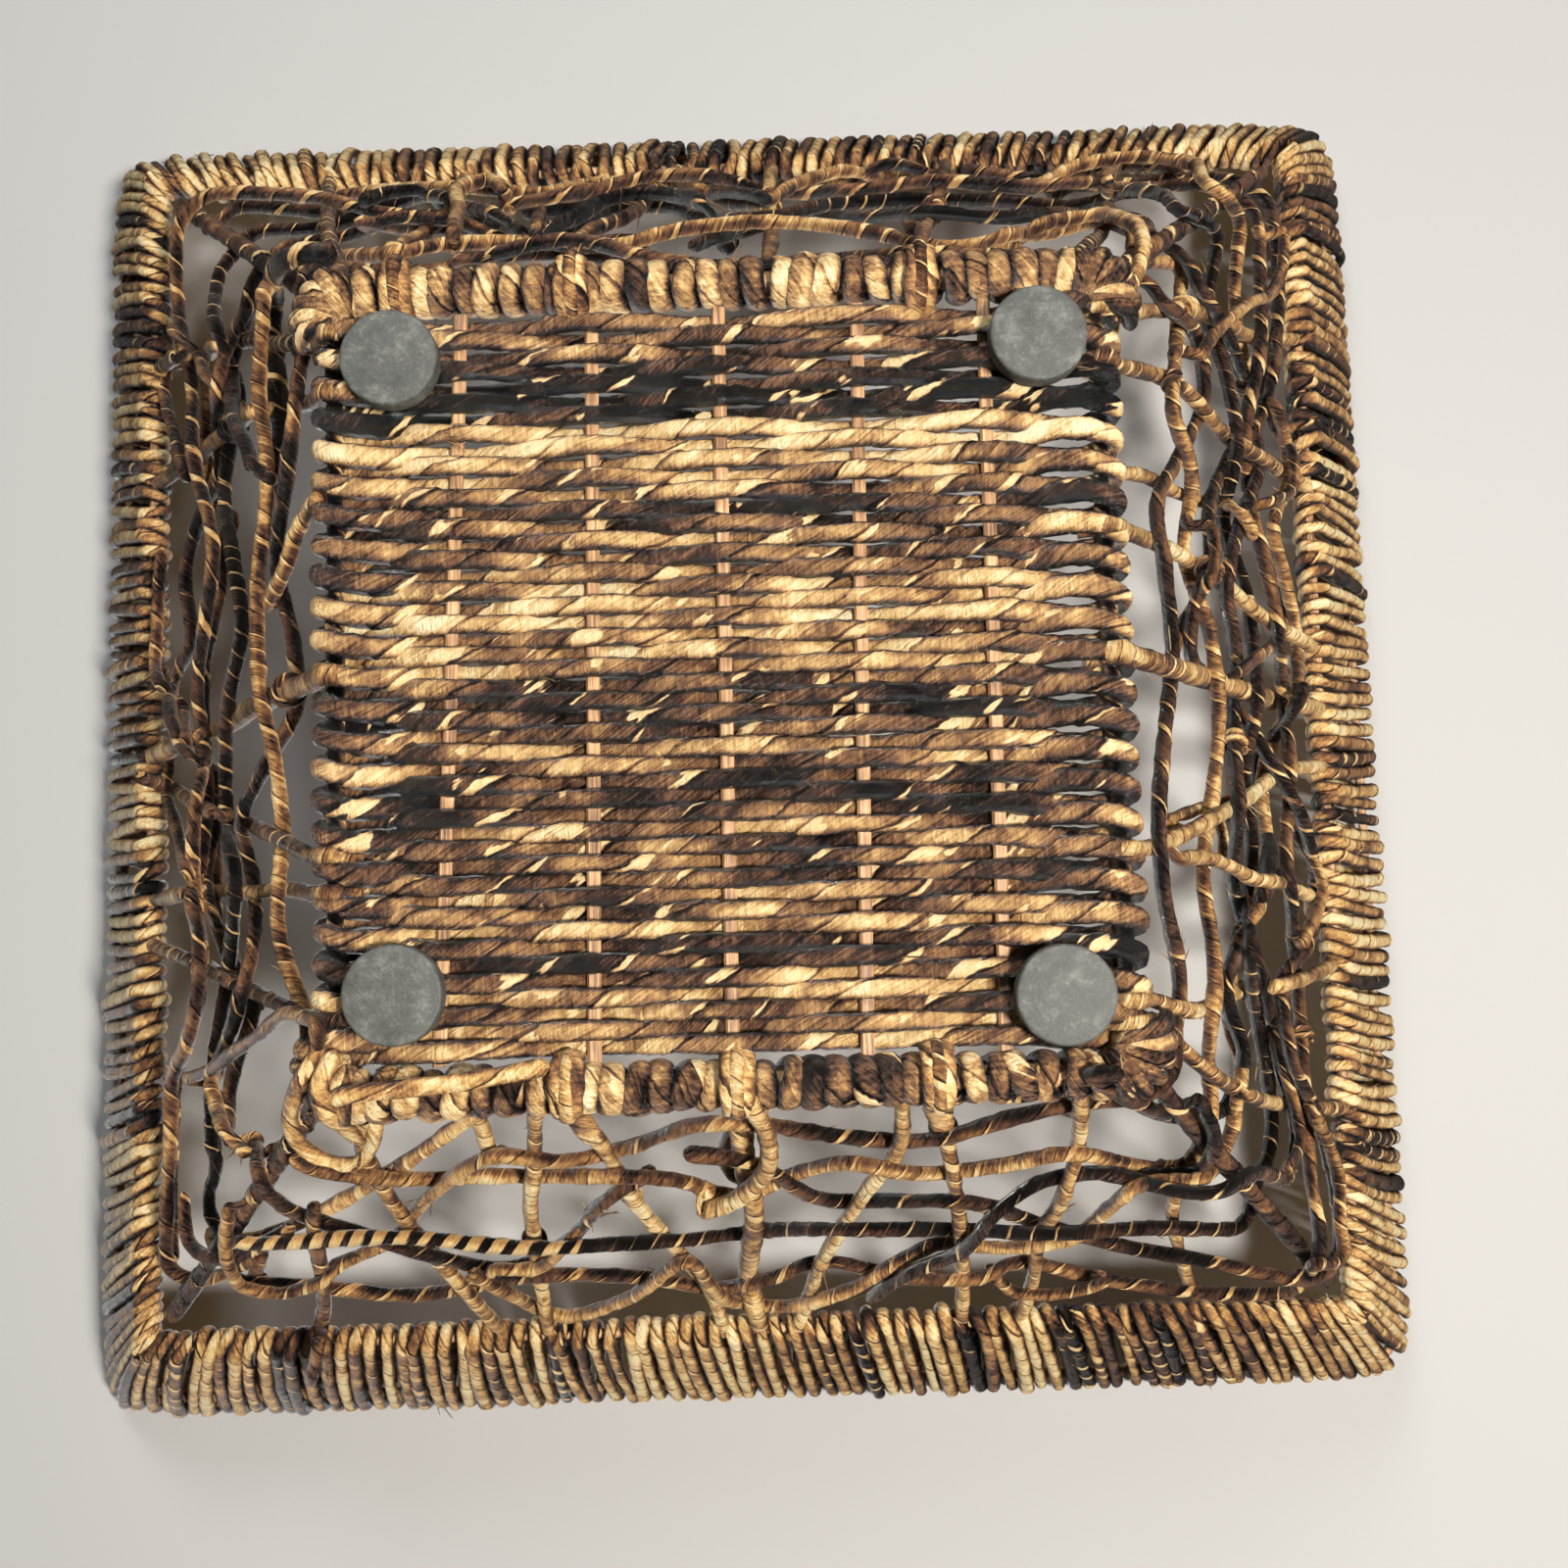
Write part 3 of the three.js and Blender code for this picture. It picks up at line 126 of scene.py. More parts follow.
WEAVERS = {
    "weaver_striped": {
        "back": ("-98 56, -87 56, -74 55, -61 56, -48 60, -35 62, -25 61, -10 60, 4 57, 23 58, 39 59, "
                 "55 62, 76 61, 92 62"),
        "right": ("-97 54, -81 61, -68 57, -56 51, -44 53, -30 58, -16 55, -1 63, 18 63, 35 52, 49 60, "
                  "64 57, 78 50, 94 56"),
        "front": ("-97 47, -88 58, -78 65, -66 62, -52 67, -39 70, -24 65, -10 50, 1 54, 10 69, 18 70, "
                  "28 54, 38 46, 47 60, 56 78, 66 72, 80 61, 96 60"),
        "left": "-97 57, -85 59, -68 49, -45 55, -35 50, -18 42, 0 52, 18 52, 33 45, 50 51, 66 60, 82 60",
    },
    "weaver_brown_upper": {
        "back": ("-95 72, -76 77, -58 82, -40 75, -18 77, -5 83, 4 79, 12 72, 29 81, 40 82, 48 75, 61 84, "
                 "76 92, 87 94"),
        "right": ("-98 86, -90 80, -75 78, -58 79, -43 77, -30 74, -18 79, -2 80, 11 78, 25 73, 41 67, "
                  "53 67, 64 76, 80 81, 92 83"),
        "front": ("-98 80, -86 78, -66 68, -54 72, -40 76, -27 72, -12 76, 2 84, 14 85, 24 75, 37 69, "
                  "52 66, 67 67, 75 76, 88 84"),
        "left": ("-95 86, -80 86, -68 77, -52 71, -34 59, -22 64, -9 71, 8 67, 26 70, 38 67, 51 67, "
                 "62 83, 80 88, 92 88"),
    },
    "weaver_tan_lower": {
        "back": ("-98 24, -85 28, -73 31, -55 31, -35 32, -13 35, 0 42, 9 35, 21 30, 36 35, 53 33, 70 29, "
                 "86 36"),
        "right": "-99 30, -82 28, -61 33, -41 30, -24 37, -3 42, 9 40, 28 30, 44 35, 60 27, 78 33, 90 37",
        "front": ("-99 23, -90 34, -79 42, -69 34, -60 26, -46 28, -37 35, -22 43, -6 46, 8 43, 22 34, "
                  "42 38, 60 34, 72 27, 88 33"),
        "left": "-96 27, -69 30, -50 27, -29 31, -2 29, 12 23, 29 20, 51 21, 69 12, 77 8, 85 7",
    },
    "weaver_brown_low": {
        "back": "-76 68, -67 56, -63 38, -54 24, -37 26, -25 22, -9 14, 7 15, 23 20, 42 22, 58 16, 80 10",
        "right": ("-98 10, -87 12, -68 16, -54 11, -37 10, -15 15, 5 21, 25 19, 39 17, 50 31, 61 45, "
                  "72 43, 86 24"),
        "front": "-98 12, -80 14, -50 14, -20 16, 4 15, 16 21, 32 33, 48 28, 62 22, 80 19, 94 18",
        "left": ("-98 10, -72 11, -50 17, -31 23, -12 15, 2 13, 13 29, 22 42, 38 37, 50 36, 58 42, 64 50, "
                 "67 58"),
    },
    "weaver_tan_wave": {
        "back": ("-50 72, -41 84, -31 95, -22 88, -11 70, -3 90, 7 93, 16 87, 28 72, 36 65, 46 68, 59 65, "
                 "70 52, 80 42, 92 41"),
        "right": ("-97 38, -84 41, -77 44, -68 40, -55 44, -40 59, -29 66, -18 65, -8 73, 3 88, 12 92, "
                  "21 87, 32 80, 43 92, 52 87, 66 70, 78 66, 93 70"),
        "front": ("-97 68, -86 88, -75 95, -66 90, -60 76, -49 82, -35 94, -25 92, -16 80, -8 62, 2 76, "
                  "13 93, 24 90, 34 80, 48 84, 62 92, 78 93, 90 93"),
    },
    "weaver_brown_rise": {
        "back": "-12 24, 4 30, 15 44, 31 46, 45 48, 57 59, 70 70, 80 76, 90 84",
        "right": ("-97 92, -84 92, -74 84, -66 69, -55 68, -42 86, -31 94, -22 86, -12 69, -2 50, 6 30, "
                  "16 33, 26 42, 36 43, 46 56, 54 78, 64 86, 78 93, 91 93"),
        "front": "-97 90, -80 83, -67 80, -55 86, -44 93",
    },
    "weaver_brown_left": {
        "front": "16 42, 30 43, 44 46, 53 57, 62 56, 74 49, 88 44",
        "left": ("-98 40, -88 40, -77 51, -62 58, -50 60, -40 72, -29 81, -18 76, -9 88, 2 78, 12 60, "
                 "24 63, 37 60, 50 49, 62 37, 74 50, 82 48, 93 34"),
        "backAgain": "-97 38, -85 46, -72 54, -58 64, -42 70, -34 60, -27 42, -18 30",
    },
    "weaver_dark_right": {
        "back": "20 91, 29 78, 38 70, 48 53, 60 40, 73 37, 87 46",
        "right": ("-98 48, -89 66, -79 72, -64 62, -52 57, -40 46, -25 49, -10 50, 6 54, 20 50, 34 60, "
                  "45 74, 56 74, 66 64, 74 56, 85 44"),
        "front": "-98 36, -84 50, -71 53, -58 46, -44 49, -30 52, -16 58, -3 44, 6 32",
    },
}
# Twigs: side, diameter in mm, tone from black at 0 to cream at 1, how much cream shows, and route
TWIGS = [
    ("back", 4.4, 0.42, 0.02, "-86 40, -83 51, -78 67, -74 84, -72 100, -70 124"),
    ("back", 3.8, 0.6, 0.1, "87 37, 85 45, 81 56, 78 71, 76 85"),
    ("back", 3.8, 0.6, 0.15, "-103 50, -96 66, -88 77, -82 79, -76 74"),
    ("back", 4.0, 0.26, 0.05, "80 38, 88 38, 95 37, 102 32, 106 22"),
    ("back", 3.6, 0.6, 0.1, "43 81, 46 90, 51 91, 57 89, 61 86"),
    ("back", 3.8, 0.72, 0.2, "-45 71, -38 71, -35 65, -32 56, -29 45, -25 39"),
    ("right", 3.8, 0.7, 0.2, "49 -6, 46 13, 42 25, 39 39, 37 55, 34 62, 31 65"),
    ("right", 4.0, 0.72, 0.2, "-42 18, -38 32, -37 44, -37 54, -35 68, -34 88"),
    ("right", 3.4, 0.7, 0.1, "-35 13, -30 25, -27 37, -30 42, -35 42"),
    ("right", 3.8, 0.55, 0.1, "86 95, 81 94, 77 88, 76 70, 75 60, 73 50, 70 42"),
    ("right", 3.6, 0.45, 0.1, "62 79, 57 82, 50 87, 45 93, 41 93, 37 77"),
    ("right", 3.4, 0.6, 0.1, "58 81, 52 78, 48 68, 46 61"),
    ("right", 3.6, 0.5, 0.15, "23 80, 20 87, 16 86, 11 78, 8 67, 3 52"),
    ("right", 3.6, 0.45, 0.1, "33 42, 28 44, 22 40, 15 31, 10 26, 5 22"),
    ("right", 4.4, 0.22, 0.06,
     "3 90, -2 83, -8 73, -13 65, -18 64, -24 65, -29 67, -35 64, -33 68, -40 59, -47 50, -55 44, "
     "-63 38, -68 40, -72 45, -77 44, -84 40, -94 28, -108 11, -114 -2, -109 -5"),
    ("right", 3.6, 0.5, 0.1, "-60 57, -64 63, -70 67, -75 71, -80 73, -88 65"),
    ("right", 3.8, 0.6, 0.1, "-24 84, -27 91, -31 96, -36 91, -44 80"),
    ("right", 4.0, 0.55, 0.12, "-74 80, -77 88, -82 93, -90 92, -94 94, -100 86"),
    ("front", 4.6, 0.62, 0.1, "56 39, 52 57, 47 81, 43 85, 41 73"),
    ("front", 4.0, 0.45, 0.05, "38 43, 35 64"),
    ("front", 4.0, 0.5, 0.05, "-45 23, -43 34, -38 56"),
    ("front", 4.0, 0.15, 0.04, "68 71, 62 78, 56 79, 52 70, 47 62, 41 45"),
    ("front", 4.0, 0.4, 0.08, "96 79, 88 84, 83 81, 75 76, 71 67, 66 67"),
    ("front", 3.8, 0.4, 0.08, "73 51, 67 52, 59 60, 53 61, 45 46"),
    ("front", 3.6, 0.45, 0.1, "58 24, 48 28, 39 33, 32 33, 24 27, 16 21"),
    ("front", 4.4, 0.12, 0.03, "35 43, 28 54, 22 66, 16 71, 10 70, 5 64, 1 52, -2 37"),
    ("front", 3.8, 0.3, 0.05, "37 68, 29 71, 22 72, 19 83, 14 86, 8 81, 3 77, -3 70, -9 62"),
    ("front", 3.8, 0.45, 0.1, "-21 81, -26 92, -31 97, -35 93"),
    ("front", 4.4, 0.68, 0.2, "-46 28, -54 28, -64 26, -68 33, -73 40, -79 43, -90 34, -103 16, -115 -5"),
    ("front", 3.8, 0.5, 0.1, "-64 74, -66 87, -67 99, -75 96, -84 89"),
    ("left", 4.4, 0.72, 0.2, "-51 -11, -47 1, -42 8, -37 13, -32 16, -27 21, -22 28"),
    ("left", 3.8, 0.5, 0.08, "89 -10, 81 1, 71 18, 70 30, 68 43, 67 55, 64 72"),
    ("left", 3.6, 0.5, 0.1, "-75 86, -72 73, -68 60, -65 50"),
    ("left", 4.2, 0.45, 0.08, "-74 105, -66 102, -60 95, -54 85, -48 76"),
    ("left", 4.0, 0.5, 0.1, "-34 97, -28 99, -21 105, -12 97, -6 84, 2 75"),
    ("left", 3.8, 0.5, 0.1, "1 93, 7 96, 15 87, 23 76, 27 71"),
    ("left", 4.0, 0.45, 0.1, "18 60, 27 65, 37 60, 45 53, 55 46, 62 36"),
    ("left", 4.0, 0.55, 0.2, "69 59, 76 54, 82 48, 94 33, 100 22"),
    ("left", 4.2, 0.2, 0.1, "70 62, 78 61, 85 59, 88 63, 95 62"),
    ("left", 4.4, 0.75, 0.3, "96 65, 105 57, 113 48, 126 29, 139 8"),
    ("left", 4.0, 0.4, 0.1, "83 76, 93 73, 102 66, 112 50"),
    ("left", 6.2, 0.24, 0.2, "-112 20, -96 26, -82 28, -69 23, -58 21, -49 23"),
    ("left", 3.8, 0.66, 0.15, "-72 76, -62 70, -54 70, -45 65"),
    ("left", 4.4, 0.3, 0.06, "-91 33, -82 46, -73 51, -64 47, -57 37, -52 32"),
    ("left", 4.4, 0.42, 0.1, "-35 57, -28 58, -18 65, -11 70, 2 69, 13 65, 27 68"),
    ("back", 5.0, 0.78, 0.15, "3 6, 6 16, 6.5 23, 5.5 31, 3 37, -1 43, -4 46, -8 47"),
    ("back", 4.2, 0.36, 0.1, "1 12, -2 19, -3.5 26, -2 32, 1 36"),
    ("left", 4.4, 0.5, 0.12, "32 69, 42 66, 51 66, 57 72, 62 84, 70 85, 80 88, 90 90, 100 81, 109 61"),
]


def points_of(text, scale=1):
    """The points in a text of numbers, divided by a scale."""
    return [tuple(float(x) / scale for x in point.split()) for point in text.split(",")]


def on_side(side, along, out, z):
    """Points on one of the four sides, from how far along it, how far out and how high they are."""
    side = np.broadcast_to(np.asarray(side, int) % 4, np.shape(along))
    plan = np.asarray(along)[..., None] * ALONG[side] + np.asarray(out)[..., None] * OUT[side]
    return np.concatenate([plan, np.broadcast_to(z, np.shape(along))[..., None]], -1)


def wall_place(lap, share):
    """Points and outward normals on the sloping wall, from laps and height shares."""
    lap, share = np.asarray(lap, float), np.asarray(share, float)
    side = np.round(lap).astype(int)
    t = 2 * (lap - side)
    slope = share * WALL_LENGTH / WALL_SLANT
    reach, height = BAR_HALF + WALL_RUN * slope, BASE_LEVEL + WALL_RISE * slope
    turn = np.maximum(0, np.abs(t) - (1 - CORNER_SHARE)) / CORNER_SHARE * math.pi / 4
    flat = 1 - CORNER_SHARE
    along = np.where(turn > 0, np.sign(t) * (flat + CORNER_SHARE * np.sin(turn)), t)
    out = flat + CORNER_SHARE * np.cos(turn)
    point = on_side(side, along * reach, out * reach, height)
    normal = on_side(side, WALL_OUTWARD[0] * np.sin(turn) * np.sign(t),
                     WALL_OUTWARD[0] * np.cos(turn), WALL_OUTWARD[1])
    return point, unit(normal)


def unit(v):
    """Vectors cut to a length of one."""
    return v / np.maximum(np.linalg.norm(v, axis=-1, keepdims=True), 1e-9)


def smooth_line(points, spacing):
    """A smooth line through points, cut evenly: the new points, and the old ones' places along it."""
    points = np.asarray(points, float)
    marks = np.concatenate([[0], np.cumsum(np.linalg.norm(np.diff(points, axis=0), axis=1))])
    if len(points) > 2:
        slopes = np.gradient(points, marks, axis=0)
    else:
        slopes = np.diff(points, axis=0)[[0, 0]] / marks[-1]
    count = max(3, int(round(marks[-1] / spacing)))
    at = np.linspace(0, marks[-1], count + 1)
    i = np.clip(np.searchsorted(marks, at, side="right") - 1, 0, len(points) - 2)
    step = (marks[i + 1] - marks[i])[:, None]
    s = (at - marks[i])[:, None] / step
    line = ((1 + 2 * s) * (1 - s) ** 2 * points[i] + s * (1 - s) ** 2 * step * slopes[i]
            + s * s * (3 - 2 * s) * points[i + 1] + s * s * (s - 1) * step * slopes[i + 1])
    return line, at, marks


def wave(rng, at, length, parts=4):
    """A gentle random curve between about -1 and 1 that changes over a given length."""
    total = np.zeros_like(at)
    for k in range(parts):
        total += np.sin(2 * math.pi * at / (length * rng.uniform(0.5, 2)) + rng.uniform(0, 2 * math.pi))
    return total / parts ** 0.5 / 1.2


def spread(at, marks, values):
    """Values given at marks along a line, or one value for all of it, as values at other places."""
    values = np.asarray(values, float)
    if values.ndim > 1:
        return np.stack([np.interp(at, marks, column) for column in values.T], 1)
    return np.interp(at, marks, values) if values.ndim else np.full(len(at), float(values))


class Rope:
    """One length of rope: its line, which way its flat side faces, and how thick and pale it is.

    Its points lie a spacing apart, its girth wanders and its strip turns once in a pitch, in mm.
    """

    def __init__(self, points, guides, girth, tone, cream, seed, spacing=1.1, wander=0.0, pitch=9.0):
        self.rng = np.random.default_rng(seed)
        self.line, self.at, marks = smooth_line(points, spacing)
        self.guide = unit(spread(self.at, marks, guides))
        self.girth, self.tone, self.cream = [spread(self.at, marks, v) for v in (girth, tone, cream)]
        self.girth = self.girth * (
            1 + 0.07 * wave(self.rng, self.at, 30) + wander * wave(self.rng, self.at, 9))
        self.tone = self.tone + 0.05 * wave(self.rng, self.at, 45)
        self.tone = self.tone + 0.07 * np.tanh(3 * wave(self.rng, self.at, 90))
        self.cream = self.cream + 0.05 * wave(self.rng, self.at, 28)
        self.dice = np.full(len(self.at), self.rng.uniform(0, 1))
        turns = np.gradient(self.at) / (pitch * (1 + 0.3 * wave(self.rng, self.at, 60)).clip(0.5, 2))
        self.twist = self.dice + np.cumsum(turns)

    def taper(self, length=3.0, least=0.35):
        """Rounds off both ends."""
        for at in (self.at, self.at[-1] - self.at):
            share = np.clip(at / length, 0, 1)
            self.girth = self.girth * (least + (1 - least) * np.sqrt(share * (2 - share)))
        return self


class Value:
    """A socket of a node tree. Arithmetic on it adds Math nodes."""

    def __init__(self, nodes, socket):
        self.nodes, self.socket = nodes, socket

    def math(self, operation, *others, clamp=False):
        values = dict(enumerate([self, *others]))
        return self.nodes.add("ShaderNodeMath", {"operation": operation, "use_clamp": clamp}, values)

    def __add__(self, other):
        return self.math("ADD", other)

    def __sub__(self, other):
        return self.math("SUBTRACT", other)

    def __mul__(self, other):
        return self.math("MULTIPLY", other)

    def __truediv__(self, other):
        return self.math("DIVIDE", other)

    def __rsub__(self, other):
        return self.nodes.add("ShaderNodeMath", {"operation": "SUBTRACT"}, {0: other, 1: self})

    __radd__ = __add__
    __rmul__ = __mul__

    def fract(self):
        return self.math("FRACT")

    def sine(self):
        return self.math("SINE")

    def cosine(self):
        return self.math("COSINE")

    def clamp(self):
        return self.math("ADD", 0.0, clamp=True)


class Nodes:
    """Adds nodes to a tree by type, settings and values or links."""

    def __init__(self, tree):
        self.tree = tree

    def add(self, kind, settings=None, values=None, out=0):
        """A new node's output as a Value. Settings are set first, then the sockets."""
        node = self.tree.nodes.new(kind)
        for name, value in (settings or {}).items():
            if name == "stops":
                while len(node.color_ramp.elements) < len(value):
                    node.color_ramp.elements.new(0.5)
                for element, (place, colour) in zip(node.color_ramp.elements, value):
                    element.position, element.color = place, (*colour, 1)
            else:
                setattr(node, name, value)
        for name, value in (values or {}).items():
            socket = node.inputs[name] if isinstance(name, int) else next(
                s for s in node.inputs if s.enabled and s.name == name)
            if isinstance(value, Value):
                self.tree.links.new(value.socket, socket)
            else:
                socket.default_value = value
        return Value(self, node.outputs[out])

    def vector(self, x, y, z):
        return self.add("ShaderNodeCombineXYZ", None, {0: x, 1: y, 2: z})

    def noise(self, place, scale=1.0, detail=2.0, rough=0.5):
        return self.add("ShaderNodeTexNoise", None,
                        {"Vector": place, "Scale": scale, "Detail": detail, "Roughness": rough})


def linear(colour):
    """A colour as seen on a screen, 0 to 255, in linear values of 0 to 1."""
    return tuple((c / 255 / 12.92) if c / 255 <= 0.04045 else ((c / 255 + 0.055) / 1.055) ** 2.4
                 for c in colour)


def split(value):
    """The x, y and z of a vector Value."""
    separated = value.nodes.add("ShaderNodeSeparateXYZ", None, {0: value}).socket.node
    return [Value(value.nodes, socket) for socket in separated.outputs]


BARK_RAMP = [
    (0.0, (4, 4, 4)), (0.15, (21, 15, 13)), (0.32, (70, 46, 37)), (0.5, (132, 91, 60)),
    (0.66, (194, 147, 90)), (0.82, (240, 200, 133)), (1.0, (255, 238, 190)),
]
COOL_RAMP = [(p, (r, g + 0.1 * (r - g), b + 0.08 * (r - b))) for p, (r, g, b) in BARK_RAMP]
CANE_RAMP = [
    (0.0, (52, 34, 24)), (0.3, (118, 86, 60)), (0.55, (164, 126, 90)), (0.8, (196, 158, 116)),
    (1.0, (224, 194, 150)),
]


def new_material(name):
    """An empty material with its Nodes helper and its output."""
    material = bpy.data.materials.new(name)
    material.use_nodes = True
    material.node_tree.nodes.clear()
    nodes = Nodes(material.node_tree)
    output = material.node_tree.nodes.new("ShaderNodeOutputMaterial")
    return material, nodes, output


def finish_surface(nodes, output, colour, rough, height, depth, gloss=0.5):
    """A plain surface from a colour, a roughness, a bump height and a gloss."""
    bump = nodes.add("ShaderNodeBump", None, {"Height": height, "Distance": depth, "Strength": 0.9})
    shader = nodes.add("ShaderNodeBsdfPrincipled", None, {
        "Base Color": colour, "Roughness": rough, "Normal": bump, "Specular IOR Level": gloss})
    nodes.tree.links.new(shader.socket, output.inputs["Surface"])


def tinted(shade, ramp):
    """The colour that a shade from 0 to 1 has on a ramp of screen colours."""
    stops = [(place, linear(colour)) for place, colour in ramp]
    return shade.nodes.add("ShaderNodeValToRGB", {"stops": stops}, {"Fac": shade})


def attribute(nodes, name):
    """A number carried by the rope's mesh."""
    settings = {"attribute_name": name, "attribute_type": "GEOMETRY"}
    return nodes.add("ShaderNodeAttribute", settings, None, "Fac")


def bark(name, rings, gloss, patches, burst, dull, strands, seam, painted_shade=0.25, across=False,
         ramp=BARK_RAMP):
    """Twisted bark: streaks along the twist, the strip's pale edge in bursts, wrinkles and flecks.

    Rings, patches and bursts are how strong the wrinkles, the blotches and the pale edge are, and
    strands how many streaks there are. The strip's seam is darkened as painted shade in its groove,
    and the sides of the rope are darkened as painted shade between neighbouring ropes, as much as the
    painted shade setting says, or its top and bottom for a rope that lies across.
    """
    material, nodes, output = new_material(name)
    along, around, _ = split(nodes.add("ShaderNodeUVMap", {"uv_map": "Strand"}))
    tone, cream, dice, phase = [attribute(nodes, key) for key in ("tone", "cream", "dice", "twist")]
    angle = around * (2 * math.pi)
    twist = around + phase
    turned = twist * (2 * math.pi)
    start = dice * 61.0

    def grain(size, speed, turn, *quality):
        place = nodes.vector(turn.cosine() * size, turn.sine() * size, along * speed + start)
        return nodes.noise(place, *quality) - 0.5

    patch = grain(0.5, 0.11, angle)
    streak = grain(strands, 0.07, turned, 1.6, 5.0, 0.7)
    bands = grain(0.6, 0.13, turned, 1.0, 1.0)
    wrinkle = grain(0.5, 1.2, angle + turned * 0.3, 1.0, 4.0, 0.6)
    fine = grain(2.5, 1.6, angle, 2.0, 3.0)
    strip = (twist + patch * 0.22).fract()
    second = (strip + 0.46).fract()
    edge = ((cream + bands * (burst * 4.0) + streak * 0.3 - strip) / 0.05 + 0.5).clamp()
    edge = edge * (strip / 0.03).clamp()
    narrow = seam * 0.6
    # Painted shade: the seam's groove is darkened in colour as shade, and it is also sunk in the bump
    groove = ((strip - (1 - seam)) / seam).clamp() + ((second - (1 - narrow)) / narrow).clamp() * 0.4
    fleck = ((fine - 0.1) * 9.0).clamp()
    plain = tone + patch * (patches * 2.0) + streak * 0.75 + wrinkle * (rings * 1.5)
    plain = plain + (second - 0.5) * 0.08
    pale = streak * 0.5 + wrinkle * (rings * 0.9) + 0.9
    # Painted shade: the rope's sides, or its top and bottom where it lies across, are darkened as if shaded
    # by the ropes beside it
    side = angle.cosine() if across else angle.sine()
    shade = plain + (pale - plain) * edge - groove * 0.42 - fleck * 0.16
    shade = shade - side * side * side * side * painted_shade
    colour = tinted(shade, ramp)
    rough = shade * 0.25 + streak * 0.4 + dull
    height = streak * 1.3 + wrinkle * (rings * 2.4) + fine * 0.5 - strip * 0.6 - groove * 0.9
    finish_surface(nodes, output, colour, rough, height, 0.002, gloss)
    return material


def rubber(name, colour):
    """Dull olive-grey rubber with faint dust specks."""
    material, nodes, output = new_material(name)
    place = nodes.add("ShaderNodeTexCoord", None, None, "Object")
    cloud = (nodes.noise(place, 110.0, 8.0, 0.8) - 0.5) * 3.0
    speck = nodes.noise(place, 1100.0, 2.0)
    dust = ((speck - 0.63) * 9.0).clamp()
    dark = tuple(c * 0.6 for c in colour)
    light = tuple(min(1, c * 2.2) for c in colour)
    shade = cloud * 1.2 + 0.45 + dust * 0.5
    stops = [(0.0, dark), (0.5, colour), (1.0, light)]
    tint = nodes.add("ShaderNodeValToRGB", {"stops": stops}, {"Fac": shade})
    finish_surface(nodes, output, tint, 0.6 + cloud * 0.2, cloud * 0.4 + speck * 0.6, 0.0003, 0.4)
    return material


def cane(name):
    """Smooth split cane with long grain along Y and faint joints."""
    material, nodes, output = new_material(name)
    place = split(nodes.add("ShaderNodeTexCoord", None, None, "Object"))
    stretch = [value * scale for value, scale in zip(place, (1500.0, 60.0, 1500.0))]
    grain = nodes.noise(nodes.vector(*stretch), 1.0, 4.0, 0.6) - 0.5
    blotch = nodes.noise(nodes.vector(*[value * 90.0 for value in place]), 1.0, 2.0) - 0.5
    colour = tinted(grain * 1.6 + blotch * 1.0 + 0.55, CANE_RAMP)
    finish_surface(nodes, output, colour, grain * 0.4 + 0.5, grain, 0.0004)
    return material


# Barks by slot, with the names of bark's own settings; the painted shade setting darkens each rope's sides
# as painted shade between ropes
BARKS = {
    "tan_rope": {"name": "Tan Bark", "rings": 0.4, "gloss": 0.5, "patches": 0.45, "burst": 0.26,
                 "dull": 0.28, "strands": 1.2, "seam": 0.08},
    "brown_rope": {"name": "Brown Bark", "rings": 0.3, "gloss": 0.6, "patches": 0.4, "burst": 0.15,
                   "dull": 0.24, "strands": 1.8, "seam": 0.07},
    "dark_rope": {"name": "Dark Bark", "rings": 0.25, "gloss": 0.75, "patches": 0.25, "burst": 0.12,
                  "dull": 0.18, "strands": 2.0, "seam": 0.06},
    "stake_rope": {"name": "Stake Bark", "rings": 0.45, "gloss": 0.5, "patches": 0.5, "burst": 0.16,
                   "dull": 0.3, "strands": 1.2, "seam": 0.09},
    "rim_rope": {"name": "Rim Bark", "rings": 0.4, "gloss": 0.45, "patches": 0.4, "burst": 0.28,
                 "dull": 0.32, "strands": 1.6, "seam": 0.09, "painted_shade": 0.6},
    "base_rope": {"name": "Base Bark", "rings": 0.35, "gloss": 0.9, "patches": 0.4, "burst": 0.4,
                  "dull": 0.18, "strands": 2.0, "seam": 0.09, "painted_shade": 0.6, "across": True,
                  "ramp": COOL_RAMP},
    "bar_bark": {"name": "Bar Bark", "rings": 0.5, "gloss": 0.65, "patches": 0.6, "burst": 0.34,
                 "dull": 0.22, "strands": 1.8, "seam": 0.08, "painted_shade": 0.5, "ramp": COOL_RAMP},
    "post": {"name": "Post Bark", "rings": 0.4, "gloss": 0.5, "patches": 0.4, "burst": 0.2,
             "dull": 0.3, "strands": 1.6, "seam": 0.08},
}
CANES = {"reed": "Split Reed", "rattan": "Rattan"}
RUBBER_GREY = (74, 76, 73)


@functools.cache
def material(slot):
    """The material of a slot, made when it is first needed."""
    if slot in BARKS:
        return bark(**BARKS[slot])
    if slot in CANES:
        return cane(CANES[slot])
    return rubber("Foot Rubber", linear(RUBBER_GREY))


# Pieces


